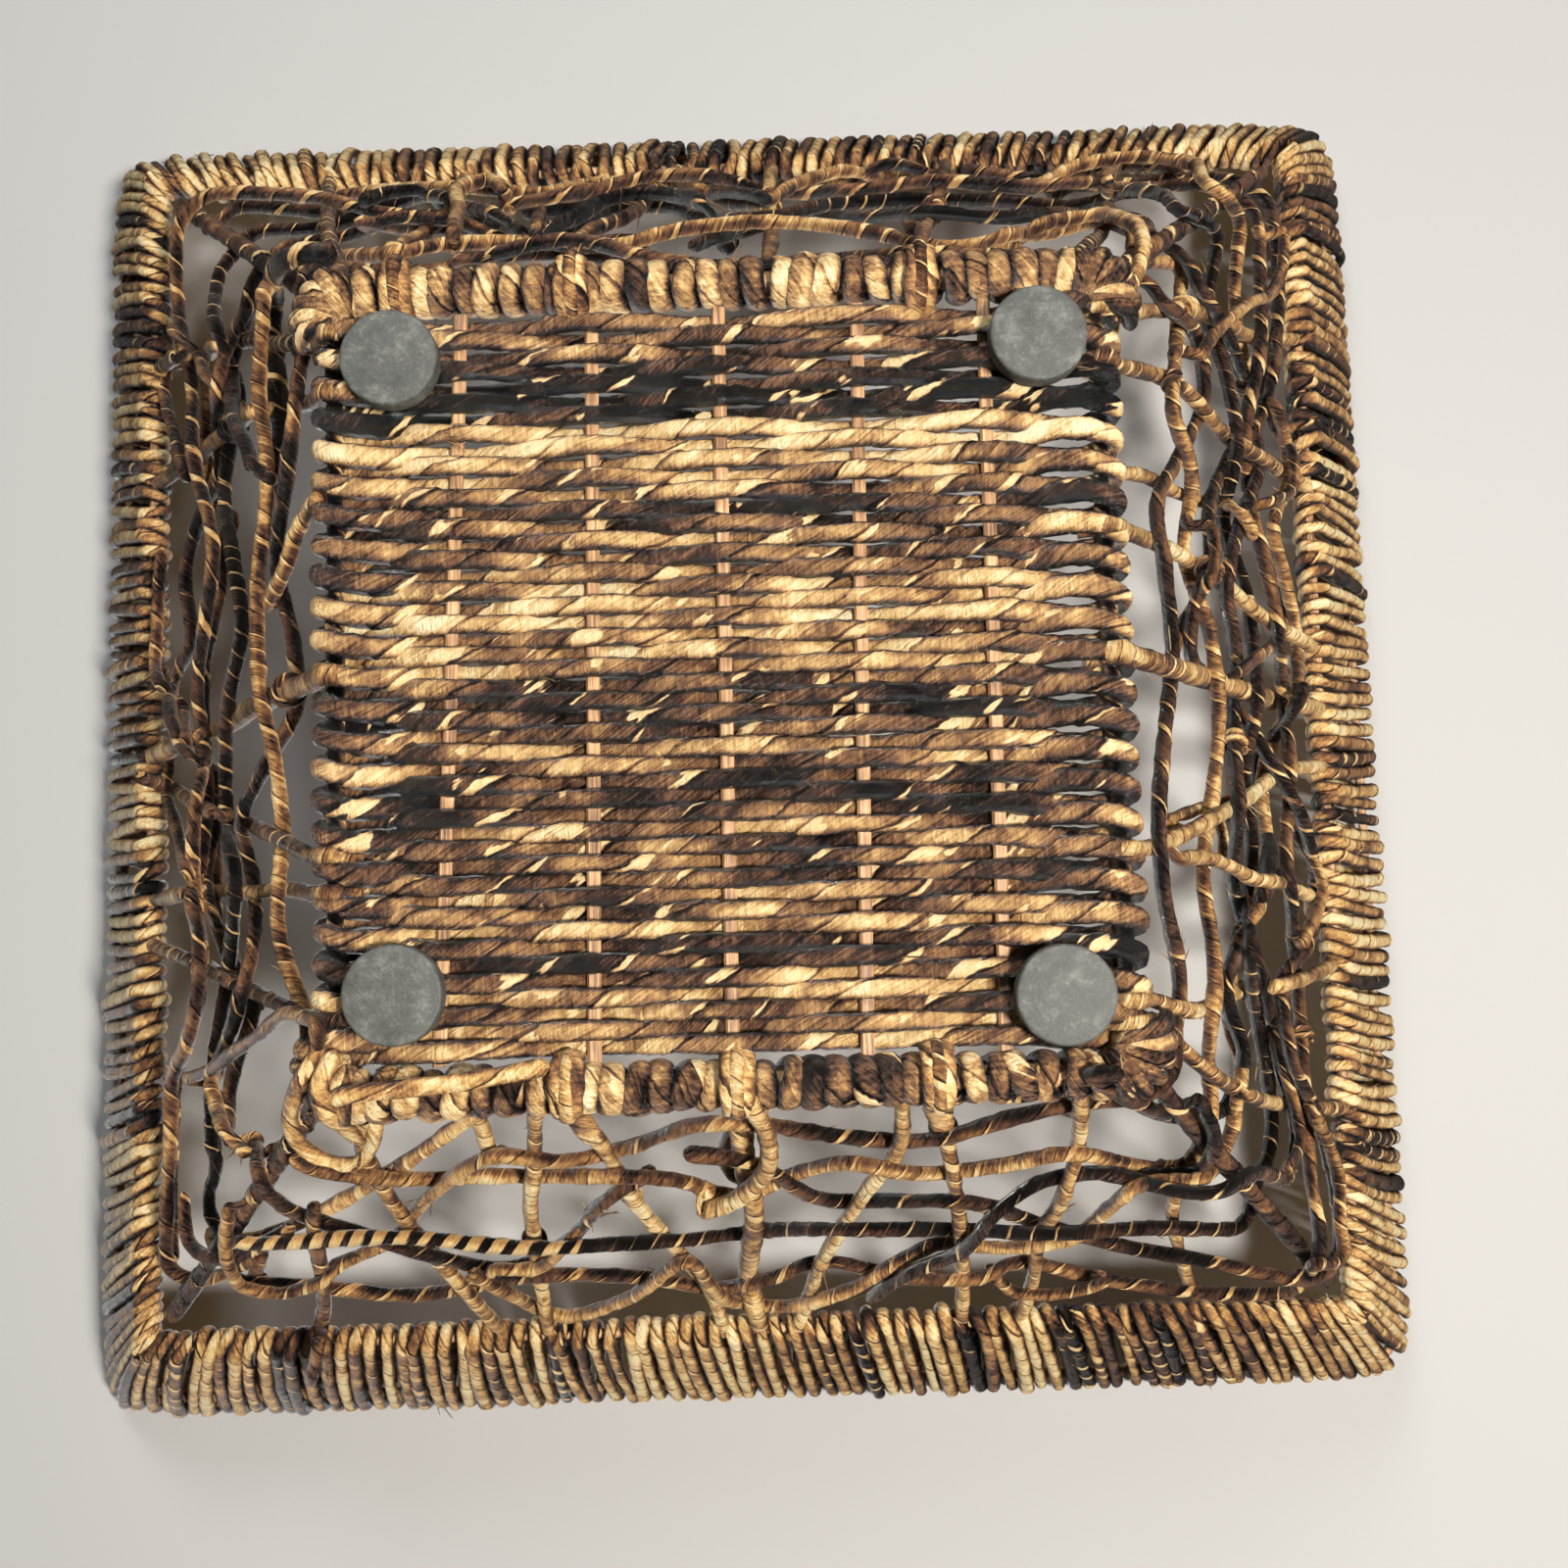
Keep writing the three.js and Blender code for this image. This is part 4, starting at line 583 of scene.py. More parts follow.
@functools.cache
def rope_tree():
    """Geometry Nodes that sweep a rope along edges: its skin steps where the twisted strip overlaps."""
    tree = bpy.data.node_groups.new("Bark Rope", "GeometryNodeTree")
    tree.is_modifier = True
    tree.interface.new_socket("Geometry", in_out="OUTPUT", socket_type="NodeSocketGeometry")
    kinds = {"Geometry": "Geometry", "Sides": "Int", "Width": "Float", "Ridge": "Float",
             "Lump": "Float", "Bark": "Material"}
    for name, kind in kinds.items():
        tree.interface.new_socket(name, in_out="INPUT", socket_type="NodeSocket" + kind)
    nodes = Nodes(tree)
    inputs = nodes.tree.nodes.new("NodeGroupInput")
    given = {socket.name: Value(nodes, socket) for socket in inputs.outputs if socket.name}

    def named(name, kind="FLOAT"):
        return nodes.add("GeometryNodeInputNamedAttribute", {"data_type": kind}, {"Name": name})

    curve = nodes.add("GeometryNodeMeshToCurve", None, {"Mesh": given["Geometry"]})
    curve = nodes.add("GeometryNodeSetCurveNormal", {"mode": "FREE"},
                      {"Curve": curve, "Normal": named("guide", "FLOAT_VECTOR")})
    circle = nodes.add("GeometryNodeCurvePrimitiveCircle", {"mode": "RADIUS"},
                       {"Resolution": given["Sides"], "Radius": 1.0})
    circle = nodes.add("GeometryNodeStoreNamedAttribute", {"data_type": "INT", "domain": "POINT"},
                       {"Geometry": circle, "Name": "side", "Value": nodes.add("GeometryNodeInputIndex")})
    circle = nodes.add("GeometryNodeTransform", None,
                       {"Geometry": circle, "Scale": nodes.vector(1.0, given["Width"], 1.0)})
    skin = nodes.add("GeometryNodeCurveToMesh", None, {
        "Curve": curve, "Profile Curve": circle, "Scale": named("girth"), "Fill Caps": True})
    around = named("side", "INT") / given["Sides"]
    strip = (around + named("twist")).fract()
    place = nodes.add("GeometryNodeInputPosition")
    lumps = nodes.noise(place, 260.0, 2.0) - 0.5
    swell = named("girth") * (given["Ridge"] * (0.5 - strip) + given["Lump"] * lumps)
    offset = nodes.add("ShaderNodeVectorMath", {"operation": "SCALE"},
                       {"Vector": nodes.add("GeometryNodeInputNormal"), "Scale": swell})
    skin = nodes.add("GeometryNodeSetPosition", None, {"Geometry": skin, "Offset": offset})
    skin = nodes.add("GeometryNodeRealizeInstances", None, {"Geometry": skin})
    skin = nodes.add("GeometryNodeSetMaterial", None, {"Geometry": skin, "Material": given["Bark"]})
    outputs = tree.nodes.new("NodeGroupOutput")
    tree.links.new(skin.socket, outputs.inputs["Geometry"])
    return tree


def run_tree(name, mesh, tree, values):
    """Runs a node tree on a mesh and gives back the plain mesh it makes."""
    holder = bpy.data.objects.new(name + "_path", mesh)
    modifier = holder.modifiers.new("Tree", "NODES")
    modifier.node_group = tree
    for item in tree.interface.items_tree:
        if item.item_type == "SOCKET" and item.in_out == "INPUT" and item.name in values:
            modifier[item.identifier] = values[item.name]
    bpy.context.scene.collection.objects.link(holder)
    graph = bpy.context.evaluated_depsgraph_get()
    made = bpy.data.meshes.new_from_object(holder.evaluated_get(graph))
    bpy.data.objects.remove(holder)
    bpy.data.meshes.remove(mesh)
    made.name = name
    return made


def read_numbers(mesh, name, kind=float):
    """A mesh attribute as an array."""
    values = np.zeros(len(mesh.attributes[name].data), kind)
    mesh.attributes[name].data.foreach_get("value", values)
    return values


def unwrap(mesh, sides):
    """Two maps: one along and around each rope, and one that packs all rings in rows for baking."""
    side = read_numbers(mesh, "side", np.int32)
    ring = np.round(read_numbers(mesh, "ring")).astype(int)
    along = read_numbers(mesh, "at")
    corner = np.zeros(len(mesh.loops), np.int32)
    mesh.loops.foreach_get("vertex_index", corner)
    total = np.zeros(len(mesh.polygons), np.int32)
    mesh.polygons.foreach_get("loop_total", total)
    face = np.repeat(np.arange(len(total)), total)
    corner_side, corner_ring = side[corner].astype(float), ring[corner]
    start = np.concatenate([[0], np.cumsum(total)[:-1]])
    width = np.maximum.reduceat(corner_side, start) - np.minimum.reduceat(corner_side, start)
    closing = (width > sides / 2) & (total == 4)
    corner_side[closing[face] & (corner_side == 0)] = sides
    first = np.minimum.reduceat(corner_ring, start)[face]
    # Rings go side by side in rows, with a narrow margin above and below each row
    rings = ring.max() + 1
    per_row = max(1, int(math.sqrt(rings * 12)))
    rows = rings // per_row + 1
    strand = np.stack([along[corner], corner_side / sides], 1)
    pack_u = (first % per_row + np.clip(corner_ring - first, 0, 1)) / per_row
    pack_v = (first // per_row + 0.08 + 0.84 * corner_side / sides) / rows
    for name, uv in (("OFBake", np.stack([pack_u * 0.998 + 0.001, pack_v], 1)), ("Strand", strand)):
        layer = mesh.uv_layers.new(name=name)
        layer.data.foreach_set("uv", uv.astype(np.float32).ravel())
    mesh.uv_layers["OFBake"].active_render = True


def place_piece(name, mesh, nodes=()):
    """An object at the origin that rides with the basket and stands for its plain nodes."""
    piece = bpy.data.objects.new(name, mesh)
    bpy.context.scene.collection.objects.link(piece)
    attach(piece, "root")
    if nodes:
        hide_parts(*nodes)
    return piece


ALL_ROPES = []
WALL_ROPES = []


def rope_piece(name, ropes, slot, nodes=(), sides=12, width=1.0, ridge=0.16, lump=0.12):
    """A piece made of ropes: their lines go to the rope tree, and its skin gets its two maps."""
    ALL_ROPES.extend(ropes)
    carried = {key: np.concatenate([getattr(rope, key) for rope in ropes])
               for key in ("line", "guide", "girth", "tone", "cream", "at", "dice", "twist")}
    points, guides = carried.pop("line") * MM, carried.pop("guide")
    carried["girth"] *= MM
    carried["ring"] = np.arange(len(points))
    starts = np.concatenate([[0], np.cumsum([len(rope.line) for rope in ropes])])
    edges = np.concatenate([np.stack([np.arange(a, b - 1), np.arange(a + 1, b)], 1)
                            for a, b in zip(starts, starts[1:])])
    mesh = bpy.data.meshes.new(name + "_lines")
    mesh.from_pydata(points.tolist(), edges.tolist(), [])
    for key, values in carried.items():
        mesh.attributes.new(key, "FLOAT", "POINT").data.foreach_set("value", values.astype(np.float32))
    mesh.attributes.new("guide", "FLOAT_VECTOR", "POINT").data.foreach_set(
        "vector", guides.astype(np.float32).ravel())
    made = run_tree(name, mesh, rope_tree(), {
        "Sides": sides, "Width": width, "Ridge": ridge, "Lump": lump, "Bark": material(slot)})
    unwrap(made, sides)
    made.polygons.foreach_set("use_smooth", np.ones(len(made.polygons), bool))
    for key in ("guide", "girth", "ring", "side", "at"):
        made.attributes.remove(made.attributes[key])
    made.update()
    return place_piece(name, made, nodes)


# Walls

STAKE_RADIUS = 2.2
THICK_RADIUS = 3.0               # of the middle stake of three sides
POST_RADIUS = 2.7
WEAVER_RADIUS = 2.1
# The share of the height at which a side's stakes start
STAKE_STARTS = {"back": 0.05, "right": 0.027, "front": 0.05, "left": 0.027}
LOOP_REACH = 8.6                 # from an end bar's middle to a stake that is looped round it
STRIP_REACH = 8.3                # and to the strip of bark that holds the stake
FIRST_LIFT = 2.15                # how far a rope starts before or behind a stake
TUCK_REACH = 16                  # farthest that a twig's end goes to hide behind another rope
MOST_TUCK = 5                    # most that it dives on the way
TUCK_LENGTH = 4                  # how far it goes on behind that rope
SIDE_LENGTH = 300                # about how long one side of the wall is
PALE_TONE = 0.55                 # twigs from this tone up are tan rope, and the rest brown
PITCHES = {"tan_rope": 6.6, "brown_rope": 12.5, "dark_rope": 14.0}
THICK = ("stake_back_4", "stake_right_4", "stake_left_3")
LOOPED = ("stake_back_3", "stake_back_4", "stake_back_6", "stake_front_2", "stake_front_4",
          "stake_front_5")
# Tone and cream, and the slot of each weaver
POST_LOOK = (0.34, 0.02)
# The front stakes are brown, and their low tone is partly painted shade, read where shade falls on that
# side
STAKE_LOOKS = {"back": (0.74, 0.08), "right": (0.74, 0.06), "front": (0.5, 0.04), "left": (0.56, 0.04)}
WEAVER_LOOKS = {
    "weaver_striped": (0.24, 0.07, "dark_rope"), "weaver_brown_upper": (0.45, 0.13, "brown_rope"),
    "weaver_tan_lower": (0.66, 0.1, "tan_rope"), "weaver_brown_low": (0.38, 0.07, "brown_rope"),
    "weaver_tan_wave": (0.68, 0.12, "tan_rope"), "weaver_brown_rise": (0.34, 0.08, "brown_rope"),
    "weaver_brown_left": (0.36, 0.05, "brown_rope"), "weaver_dark_right": (0.26, 0.04, "dark_rope"),
}


class Strand:
    """A rope of the wall before it is made: places on the wall, and how far each is lifted off it."""

    def __init__(self, name, laps, radius, fixed_ends=False, free=True):
        self.name, self.radius = name, radius
        self.lap, self.share = np.array(laps, float).T
        self.settle_place()
        self.lift = np.zeros(len(self.lap))
        self.free = np.full(len(self.lap), 1.0 if free else 0.0)
        if fixed_ends:
            self.free[[0, -1]] = 0

    def settle_place(self):
        """Where the rope lies, and the way it moves when it is lifted: off the wall and along the view."""
        self.point, self.normal = wall_place(self.lap, self.share)
        view = unit(np.array(CAMERA_PLACE) - self.point)
        slip = view / np.einsum("ij,ij->i", view, self.normal)[:, None] - self.normal
        size = np.linalg.norm(slip, axis=1, keepdims=True)
        self.rise = self.normal + slip * np.minimum(1, MOST_SLIP / np.maximum(size, 1e-6))

    def line(self):
        return self.point + self.rise * self.lift[:, None]


def wall_route(route, spacing=5.0):
    """A route over the wall as evenly spaced laps and height shares."""
    reach = 2 * (BAR_HALF + WALL_RUN / 2)
    line, _, _ = smooth_line([(lap * reach, share * WALL_LENGTH) for lap, share in route], spacing)
    return np.stack([line[:, 0] / reach, line[:, 1] / WALL_LENGTH], 1)


def side_route(side, text):
    """A side's route text as laps and height shares."""
    return [(SIDES[side] + t / 2, share) for t, share in points_of(text, 100)]


def nearest(a0, a1, b0, b1):
    """Where two sets of stretches come nearest: the shares along each, and the step between them."""
    u, v, w = a1 - a0, b1 - b0, a0 - b0

    def dot(x, y):
        return np.einsum("ij,ij->i", x, y)

    a, b, c, d, e = dot(u, u), dot(u, v), dot(v, v), dot(u, w), dot(v, w)
    span = a * c - b * b
    p = np.where(span > 1e-9 * a * c, np.clip((b * e - c * d) / np.maximum(span, 1e-9), 0, 1), 0)
    q = np.clip((b * p + e) / c, 0, 1)
    p = np.clip((b * q - d) / a, 0, 1)
    q = np.clip((b * p + e) / c, 0, 1)
    return p, q, w + u * p[:, None] - v * q[:, None]


def settle(strands, rounds=260, gap=-0.25, reach=12, block=300):
    """Ropes that are too near are lifted off the wall, one out and one in, until they only touch.

    Stretches farther apart than the reach are left out, and pairs are looked for block by block.
    """
    point, normal, rise, lift, free = [
        np.concatenate([getattr(s, key) for s in strands])
        for key in ("point", "normal", "rise", "lift", "free")]
    owner = np.concatenate([np.full(len(s.lap), k) for k, s in enumerate(strands)])
    radius = np.array([s.radius for s in strands])[owner]
    here = np.flatnonzero(owner[:-1] == owner[1:])
    middle = (point[here] + point[here + 1]) / 2
    pairs = []
    for k in range(0, len(here), block):
        apart = np.linalg.norm(middle[k:k + block, None] - middle[None], axis=-1)
        first, second = np.nonzero(apart < reach)
        first += k
        keep = (second > first) & ((owner[here[first]] != owner[here[second]]) | (second - first > 4))
        pairs.append(np.stack([first[keep], second[keep]], 1))
    first, second = here[np.concatenate(pairs)].T
    need = radius[first] + radius[second] + gap
    across = unit(normal[first] + normal[second])
    side = np.where((first + second) % 2, 1.0, -1.0)
    own = np.arange(len(owner))
    breaks = owner[1:] != owner[:-1]
    before = np.where(np.concatenate([[True], breaks]), own, own - 1)
    after = np.where(np.concatenate([breaks, [True]]), own, own + 1)
    for turn in range(rounds):
        if turn < rounds * 0.7:
            lift += free * 0.3 * ((lift[before] + lift[after]) / 2 - lift)
        place = point + rise * lift[:, None]
        p, q, step = nearest(place[first], place[first + 1], place[second], place[second + 1])
        distance = np.linalg.norm(step, axis=1)
        near = distance < need
        height = np.einsum("ij,ij->i", step, across)
        level = np.sqrt(np.maximum(0, distance ** 2 - height ** 2))
        sign = np.where(np.abs(height) > 0.05, np.sign(height), side)
        lack = np.sqrt(np.maximum(0, need ** 2 - np.minimum(level, need) ** 2)) - sign * height + 0.03
        weights = [(1 - p) * free[first], p * free[first + 1],
                   (1 - q) * free[second], q * free[second + 1]]
        total = weights[0] * (1 - p) + weights[1] * p + weights[2] * (1 - q) + weights[3] * q
        near &= total > 1e-6
        move = np.where(near, sign * lack / np.maximum(total, 0.2), 0)
        moved, count = np.zeros_like(lift), np.zeros_like(lift)
        for index, weight, way in zip((first, first + 1, second, second + 1), weights, (1, 1, -1, -1)):
            np.add.at(moved, index, way * move * weight)
            np.add.at(count, index, near * weight)
        lift = np.clip(lift + moved / np.maximum(count, 1), -LIFT_LIMIT, LIFT_LIMIT)
    for _ in range(2):
        lift += free * 0.5 * ((lift[before] + lift[after]) / 2 - lift)
    starts = np.cumsum([len(s.lap) for s in strands])[:-1]
    for strand, part in zip(strands, np.split(lift, starts)):
        strand.lift = part


def first_lift(strand, order, stakes):
    """A rope goes in front of one stake and behind the next."""
    points = np.concatenate([s.point for s in stakes])
    owner = np.concatenate([np.full(len(s.lap), k) for k, s in enumerate(stakes)])
    apart = np.linalg.norm(strand.point[:, None] - points[None], axis=-1)
    return np.where((owner[apart.argmin(1)] + order) % 2, -FIRST_LIFT, FIRST_LIFT)


def tuck_in(strand, others):
    """A twig's ends dive behind the rope that is nearest, to the inside of the wall."""
    point = np.concatenate([s.line() for s in others])
    place = np.concatenate([np.stack([s.lap, s.share, s.lift, np.full(len(s.lap), s.radius)], 1)
                            for s in others])
    own = np.stack([strand.lap, strand.share, strand.lift], 1)
    for end in (0, -1):
        step = np.linalg.norm(point - strand.line()[end], axis=1)
        best = step.argmin()
        if step[best] > TUCK_REACH:
            continue
        lap, share, lift, radius = place[best]
        under = max(lift - radius - strand.radius + 0.4, own[end, 2] - MOST_TUCK)
        way = own[end, :2] - own[1 if end == 0 else -2, :2]
        way = way / max(np.hypot(way[0] * SIDE_LENGTH, way[1] * WALL_LENGTH), 1e-6)
        more = np.array([[lap, share, under], [*(np.array([lap, share]) + way * TUCK_LENGTH), under]])
        own = np.concatenate([more[::-1], own]) if end == 0 else np.concatenate([own, more])
    strand.lap, strand.share, strand.lift = own.T
    strand.settle_place()


def lay_walls():
    """All ropes of the walls, settled among one another: stakes, weavers, twigs and posts by name."""
    stakes, posts, weavers, twigs = {}, {}, {}, {}
    for side, routes in STAKES.items():
        start = STAKE_STARTS[side]
        for i, text in enumerate(routes):
            name = f"stake_{side}_{i + 1}"
            laps = wall_route(side_route(side, text))
            laps[:, 1] = start + (1 - start) * laps[:, 1]
            radius = THICK_RADIUS if name in THICK else STAKE_RADIUS
            stakes[name] = Strand(name, laps, radius, fixed_ends=True)
    for i, corner in enumerate(("back_right", "front_right", "front_left", "back_left")):
        laps = [(i + 0.5, share) for share in np.linspace(0.02, 0.97, 26)]
        posts["post_" + corner] = Strand("post_" + corner, laps, POST_RADIUS, free=False)
    for i, (name, stretches) in enumerate(WEAVERS.items()):
        route = [place for side, text in stretches.items() for place in side_route(side, text)]
        laps = wall_route(route)
        laps[:, 1] = np.clip(laps[:, 1], 0.07, 0.98)
        weavers[name] = Strand(name, laps, WEAVER_RADIUS)
        weavers[name].lift = first_lift(weavers[name], i, list(stakes.values()))
        if name == "weaver_striped":
            weavers[name].lift[weavers[name].lap < -0.15] = 3.0
    for i, (side, size, tone, cream, text) in enumerate(TWIGS):
        laps = wall_route(side_route(side, text))
        laps[:, 1] = np.clip(laps[:, 1], 0.0, 0.99 if i else 2)
        twig = Strand(f"twig_{i}", laps, size / 2)
        twig.lift = first_lift(twig, i, list(stakes.values())) * 1.2
        twig.look = (side, tone, cream)
        twigs[twig.name] = twig
    settle([*posts.values(), *stakes.values(), *weavers.values(), *twigs.values()])
    main = [*posts.values(), *stakes.values(), *weavers.values()]
    # The first twig climbs over the rim band, and the others end behind other ropes
    over, *others = twigs.values()
    rise = np.clip((over.share - 0.9) / 0.12, 0, 1)
    over.lift = np.maximum(over.lift * (1 - rise), rise * (8.5 + 18 * np.maximum(over.share - 1, 0)))
    for twig in others:
        tuck_in(twig, main)
    return stakes, posts, weavers, twigs


def round_bar(start, side, angles, radius):
    """Points on a circle round an end bar by a stake's start, and the way that each faces."""
    out = np.array([*OUT[SIDES[side]], 0])
    axis = start * [1, 0, 0] + out * BAR_HALF + [0, 0, BASE_LEVEL]
    facing = [out * math.cos(a) - np.array([0, 0, 1.0]) * math.sin(a) for a in map(math.radians, angles)]
    return [axis + way * radius for way in facing], facing


def stake_ends(name, side, line, normal):
    """A stake's line with its foot tucked into the base or looped over a bar, and its head into the rim."""
    up = unit(line[-1] - line[-2])
    foot = unit(line[0] - line[1])
    out = np.array([*OUT[SIDES[side]], 0])
    down = np.array([0, 0, -1.0])
    if name in LOOPED:
        tuck, facing = round_bar(line[0], side, (205, 165, 125, 85, 45), LOOP_REACH)
    elif side in ("back", "front"):
        tuck, facing = [line[0] + foot * 3.5 - out * 3], [normal[0]]
    else:
        under = line[0] - out * 4.5
        under[2] = BASE_LEVEL - 5.2
        inner = line[0] - out * 13
        inner[2] = BASE_LEVEL + 1
        tuck, facing = [inner, under], [down, down]
    return (np.concatenate([tuck, line, [line[-1] + up * 7]]),
            np.concatenate([facing, normal, normal[-1:]]))


def bar_wrap(stake, side, seed):
    """A wide strip of bark that goes over an end bar and narrows onto the stake that starts there."""
    line, normal = stake.line(), stake.normal
    over, facing = round_bar(line[0], side, (225, 190, 155, 120, 90, 62), STRIP_REACH)
    down = line[1:5] + normal[1:5] * (stake.radius * 0.75)
    girth = [1.1, 1.6, 1.8, 1.8, 1.75, 1.65, 1.5, 1.35, 1.2, 1.0]
    return Rope(np.concatenate([over, down]), np.concatenate([facing, normal[1:5]]), girth, 0.74, 0.1,
                seed, spacing=1.2, wander=0.06, pitch=26.0).taper(3.0, 0.5)


def make_stakes(side, stakes):
    """A side's stakes, and the strips of bark that hold some of them to a bar."""
    tone, cream = STAKE_LOOKS[side]
    own = [(i, stake) for i, stake in enumerate(stakes.values()) if stake.name.startswith("stake_" + side)]
    ropes = []
    for i, (_, stake) in enumerate(own):
        line, guides = stake_ends(stake.name, side, stake.line(), stake.normal)
        shift = ((i * 7) % 5 - 2) * 0.05
        girth = np.full(len(line), stake.radius)
        if stake.name in LOOPED:
            girth[:6] = (1.6, 2.0, *[STAKE_RADIUS] * 4)
        ropes.append(Rope(line, guides, girth, tone + shift, cream - shift, 100 + i,
                          spacing=1.2, wander=0.06, pitch=6.0))
    rope_piece("stake_ropes_" + side, ropes, "stake_rope", [stake.name for _, stake in own], ridge=0.06)
    WALL_ROPES.extend(ropes)
    wraps = [bar_wrap(stake, side, 700 + i) for i, stake in own if stake.name in LOOPED]
    if wraps:
        rope_piece("bar_wraps_" + side, wraps, "stake_rope", sides=14, width=2.5, ridge=0.04, lump=0.2)


def make_twigs(side, twigs):
    """A side's twigs, the pale ones and the dark ones."""
    for kind, pitch, pale in (("tan", 6.2, True), ("brown", 12.0, False)):
        ropes = []
        for i, twig in enumerate(twigs.values()):
            home, tone, cream = twig.look
            if home == side and (tone >= PALE_TONE) == pale:
                ropes.append(Rope(twig.line(), twig.normal, twig.radius, tone, cream - 0.04, 300 + i,
                                  spacing=1.2, wander=0.06, pitch=pitch).taper())
        rope_piece(f"twigs_{side}_{kind}", ropes, kind + "_rope", ridge=0.08)


def make_weaver(weaver, seed):
    """A weaver's piece. One is striped for part of its way, and one starts pale."""
    tone, cream, slot = WEAVER_LOOKS[weaver.name]
    cream = np.full(len(weaver.lap), cream)
    pitch = PITCHES[slot]
    if weaver.name == "weaver_striped":
        cream, pitch = np.where(weaver.lap < -0.2, 0.55, cream), 6.5
    if weaver.name == "weaver_brown_low":
        tone = np.interp(weaver.lap, [-0.05, 0.1], [0.66, tone])
    rope = Rope(weaver.line(), weaver.normal, weaver.radius, tone, 0, seed,
                spacing=1.2, wander=0.05, pitch=pitch)
    rope.cream = rope.cream + np.interp(rope.at, np.linspace(0, rope.at[-1], len(cream)), cream)
    rope_piece(weaver.name + "_rope", [rope.taper()], slot, [weaver.name], ridge=0.1)
    WALL_ROPES.append(rope)


def make_walls(stakes, posts, weavers, twigs):
    """Pieces for the settled ropes: stakes and twigs by side, weavers and posts one by one."""
    for side in STAKES:
        make_stakes(side, stakes)
        make_twigs(side, twigs)
    for i, weaver in enumerate(weavers.values()):
        make_weaver(weaver, 200 + i)
    for i, post in enumerate(posts.values()):
        rope = Rope(post.line(), post.normal, post.radius, *POST_LOOK, 400 + i,
                    spacing=1.2, wander=0.08, pitch=13.0)
        rope_piece(post.name + "_cane", [rope], "post", [post.name], 14)


# Rim, bars and base

# Each side's winding. Slant is how far a turn leans on its way out, from end to end, and hook how far
# # it leans round the lower hoop, in mm. Moods are how pale each stretch is, from end to end, with a
# # lift for all of them, and spread is how much one turn differs from the next. The left band is made
# # paler to make up for the weaker lamp light on it: that part of its paleness is painted light.
RIM_LOOKS = {
    "back": {
        "slant": (2.2, 2.2, 2.2, 2.2, 2.2), "hook": -0.6, "lift": 0.11, "spread": 0.22,
        "moods": (0.62, 0.66, 0.5, 0.66, 0.6, 0.62, 0.66, 0.6, 0.62, 0.5, 0.3, 0.42, 0.62, 0.66),
    },
    "right": {
        "slant": (4.0, 4.5, 5.0, -9.0, -14.0), "hook": 1.6, "lift": 0.11, "spread": 0.22,
        "moods": (0.66, 0.66, 0.6, 0.66, 0.62, 0.66, 0.66, 0.7, 0.68, 0.6, 0.44, 0.5, 0.4, 0.6),
    },
    "front": {
        "slant": (-4.0, -4.0, -4.0, -4.0, -4.0), "hook": 0.6, "lift": 0.19, "spread": 0.22,
        "moods": (0.66, 0.5, 0.62, 0.42, 0.4, 0.46, 0.42, 0.5, 0.4, 0.55, 0.46, 0.6, 0.66, 0.62),
    },
    "left": {
        "slant": (-8.2, -8.2, -8.2, -8.2, -8.2), "hook": -0.8, "lift": 0.19, "spread": 0.3,
        "moods": (0.64, 0.56, 0.5, 0.48, 0.6, 0.5, 0.46, 0.56, 0.44, 0.5, 0.46, 0.54, 0.5, 0.66),
    },
}
# The band's middle plane: its lower and its upper edge, out from the middle and in height
BAND_LOW = np.array(RIM_LOW) + [-1.7, -1.6]
BAND_HIGH = np.array(RIM_HIGH) + [1.5, 1.2]
WRAP_RADIUS = 3.1                # from that plane to the middle of the rope
RIM_GIRTH = 1.85
RIM_EASE = 4.6                   # how far the upper corners are rounded
HOOP_EASE = 3.4                  # and those of the canes in the band
BARK_LENGTH = 196.0              # how much of an end bar its bark covers
BARK_RADIUS = 4.5                # from a bar's middle to the middle of its bark
BARK_GIRTH = 2.2
LASHING_START = 95.5             # from the middle to where the lashing of a corner starts
LASHING_BEND = 8.0               # radius of the bend that it follows
LASHING_RADIUS = 5.6             # from that bend to the middle of the rope
WEAVE_GIRTH = 2.58
WEAVE_TURN = 3.7                 # from a side rod's middle to the rope that turns round it


def band_section(spot, loose):
    """One turn round the band in section, from how far round it each point is and how loose it lies.

    Gives the points out and up, the ways that they face, their shares of the way up the band, and
    the angle turned through: 0 on the outside of the band and pi on the inside.
    """
    depth = np.linalg.norm(BAND_HIGH - BAND_LOW)
    rise = (BAND_HIGH - BAND_LOW) / depth
    face = np.array([rise[1], -rise[0]])
    half = math.pi * WRAP_RADIUS
    ends = [spot < depth, spot < depth + half, spot < 2 * depth + half]
    bend = np.select(ends, [0, (spot - depth) / WRAP_RADIUS, math.pi], (spot - 2 * depth) / WRAP_RADIUS)
    base = np.select(ends, [spot, depth, 2 * depth + half - spot], 0)
    away = np.cos(bend)[:, None] * face + np.sin(bend)[:, None] * rise
    belly = np.sin(math.pi * np.clip(base / depth, 0, 1)) * np.where(bend < 2, 1.6, 0.6)
    radius = WRAP_RADIUS + loose + belly
    return BAND_LOW + base[:, None] * rise + away * radius[:, None], away, base / depth, bend


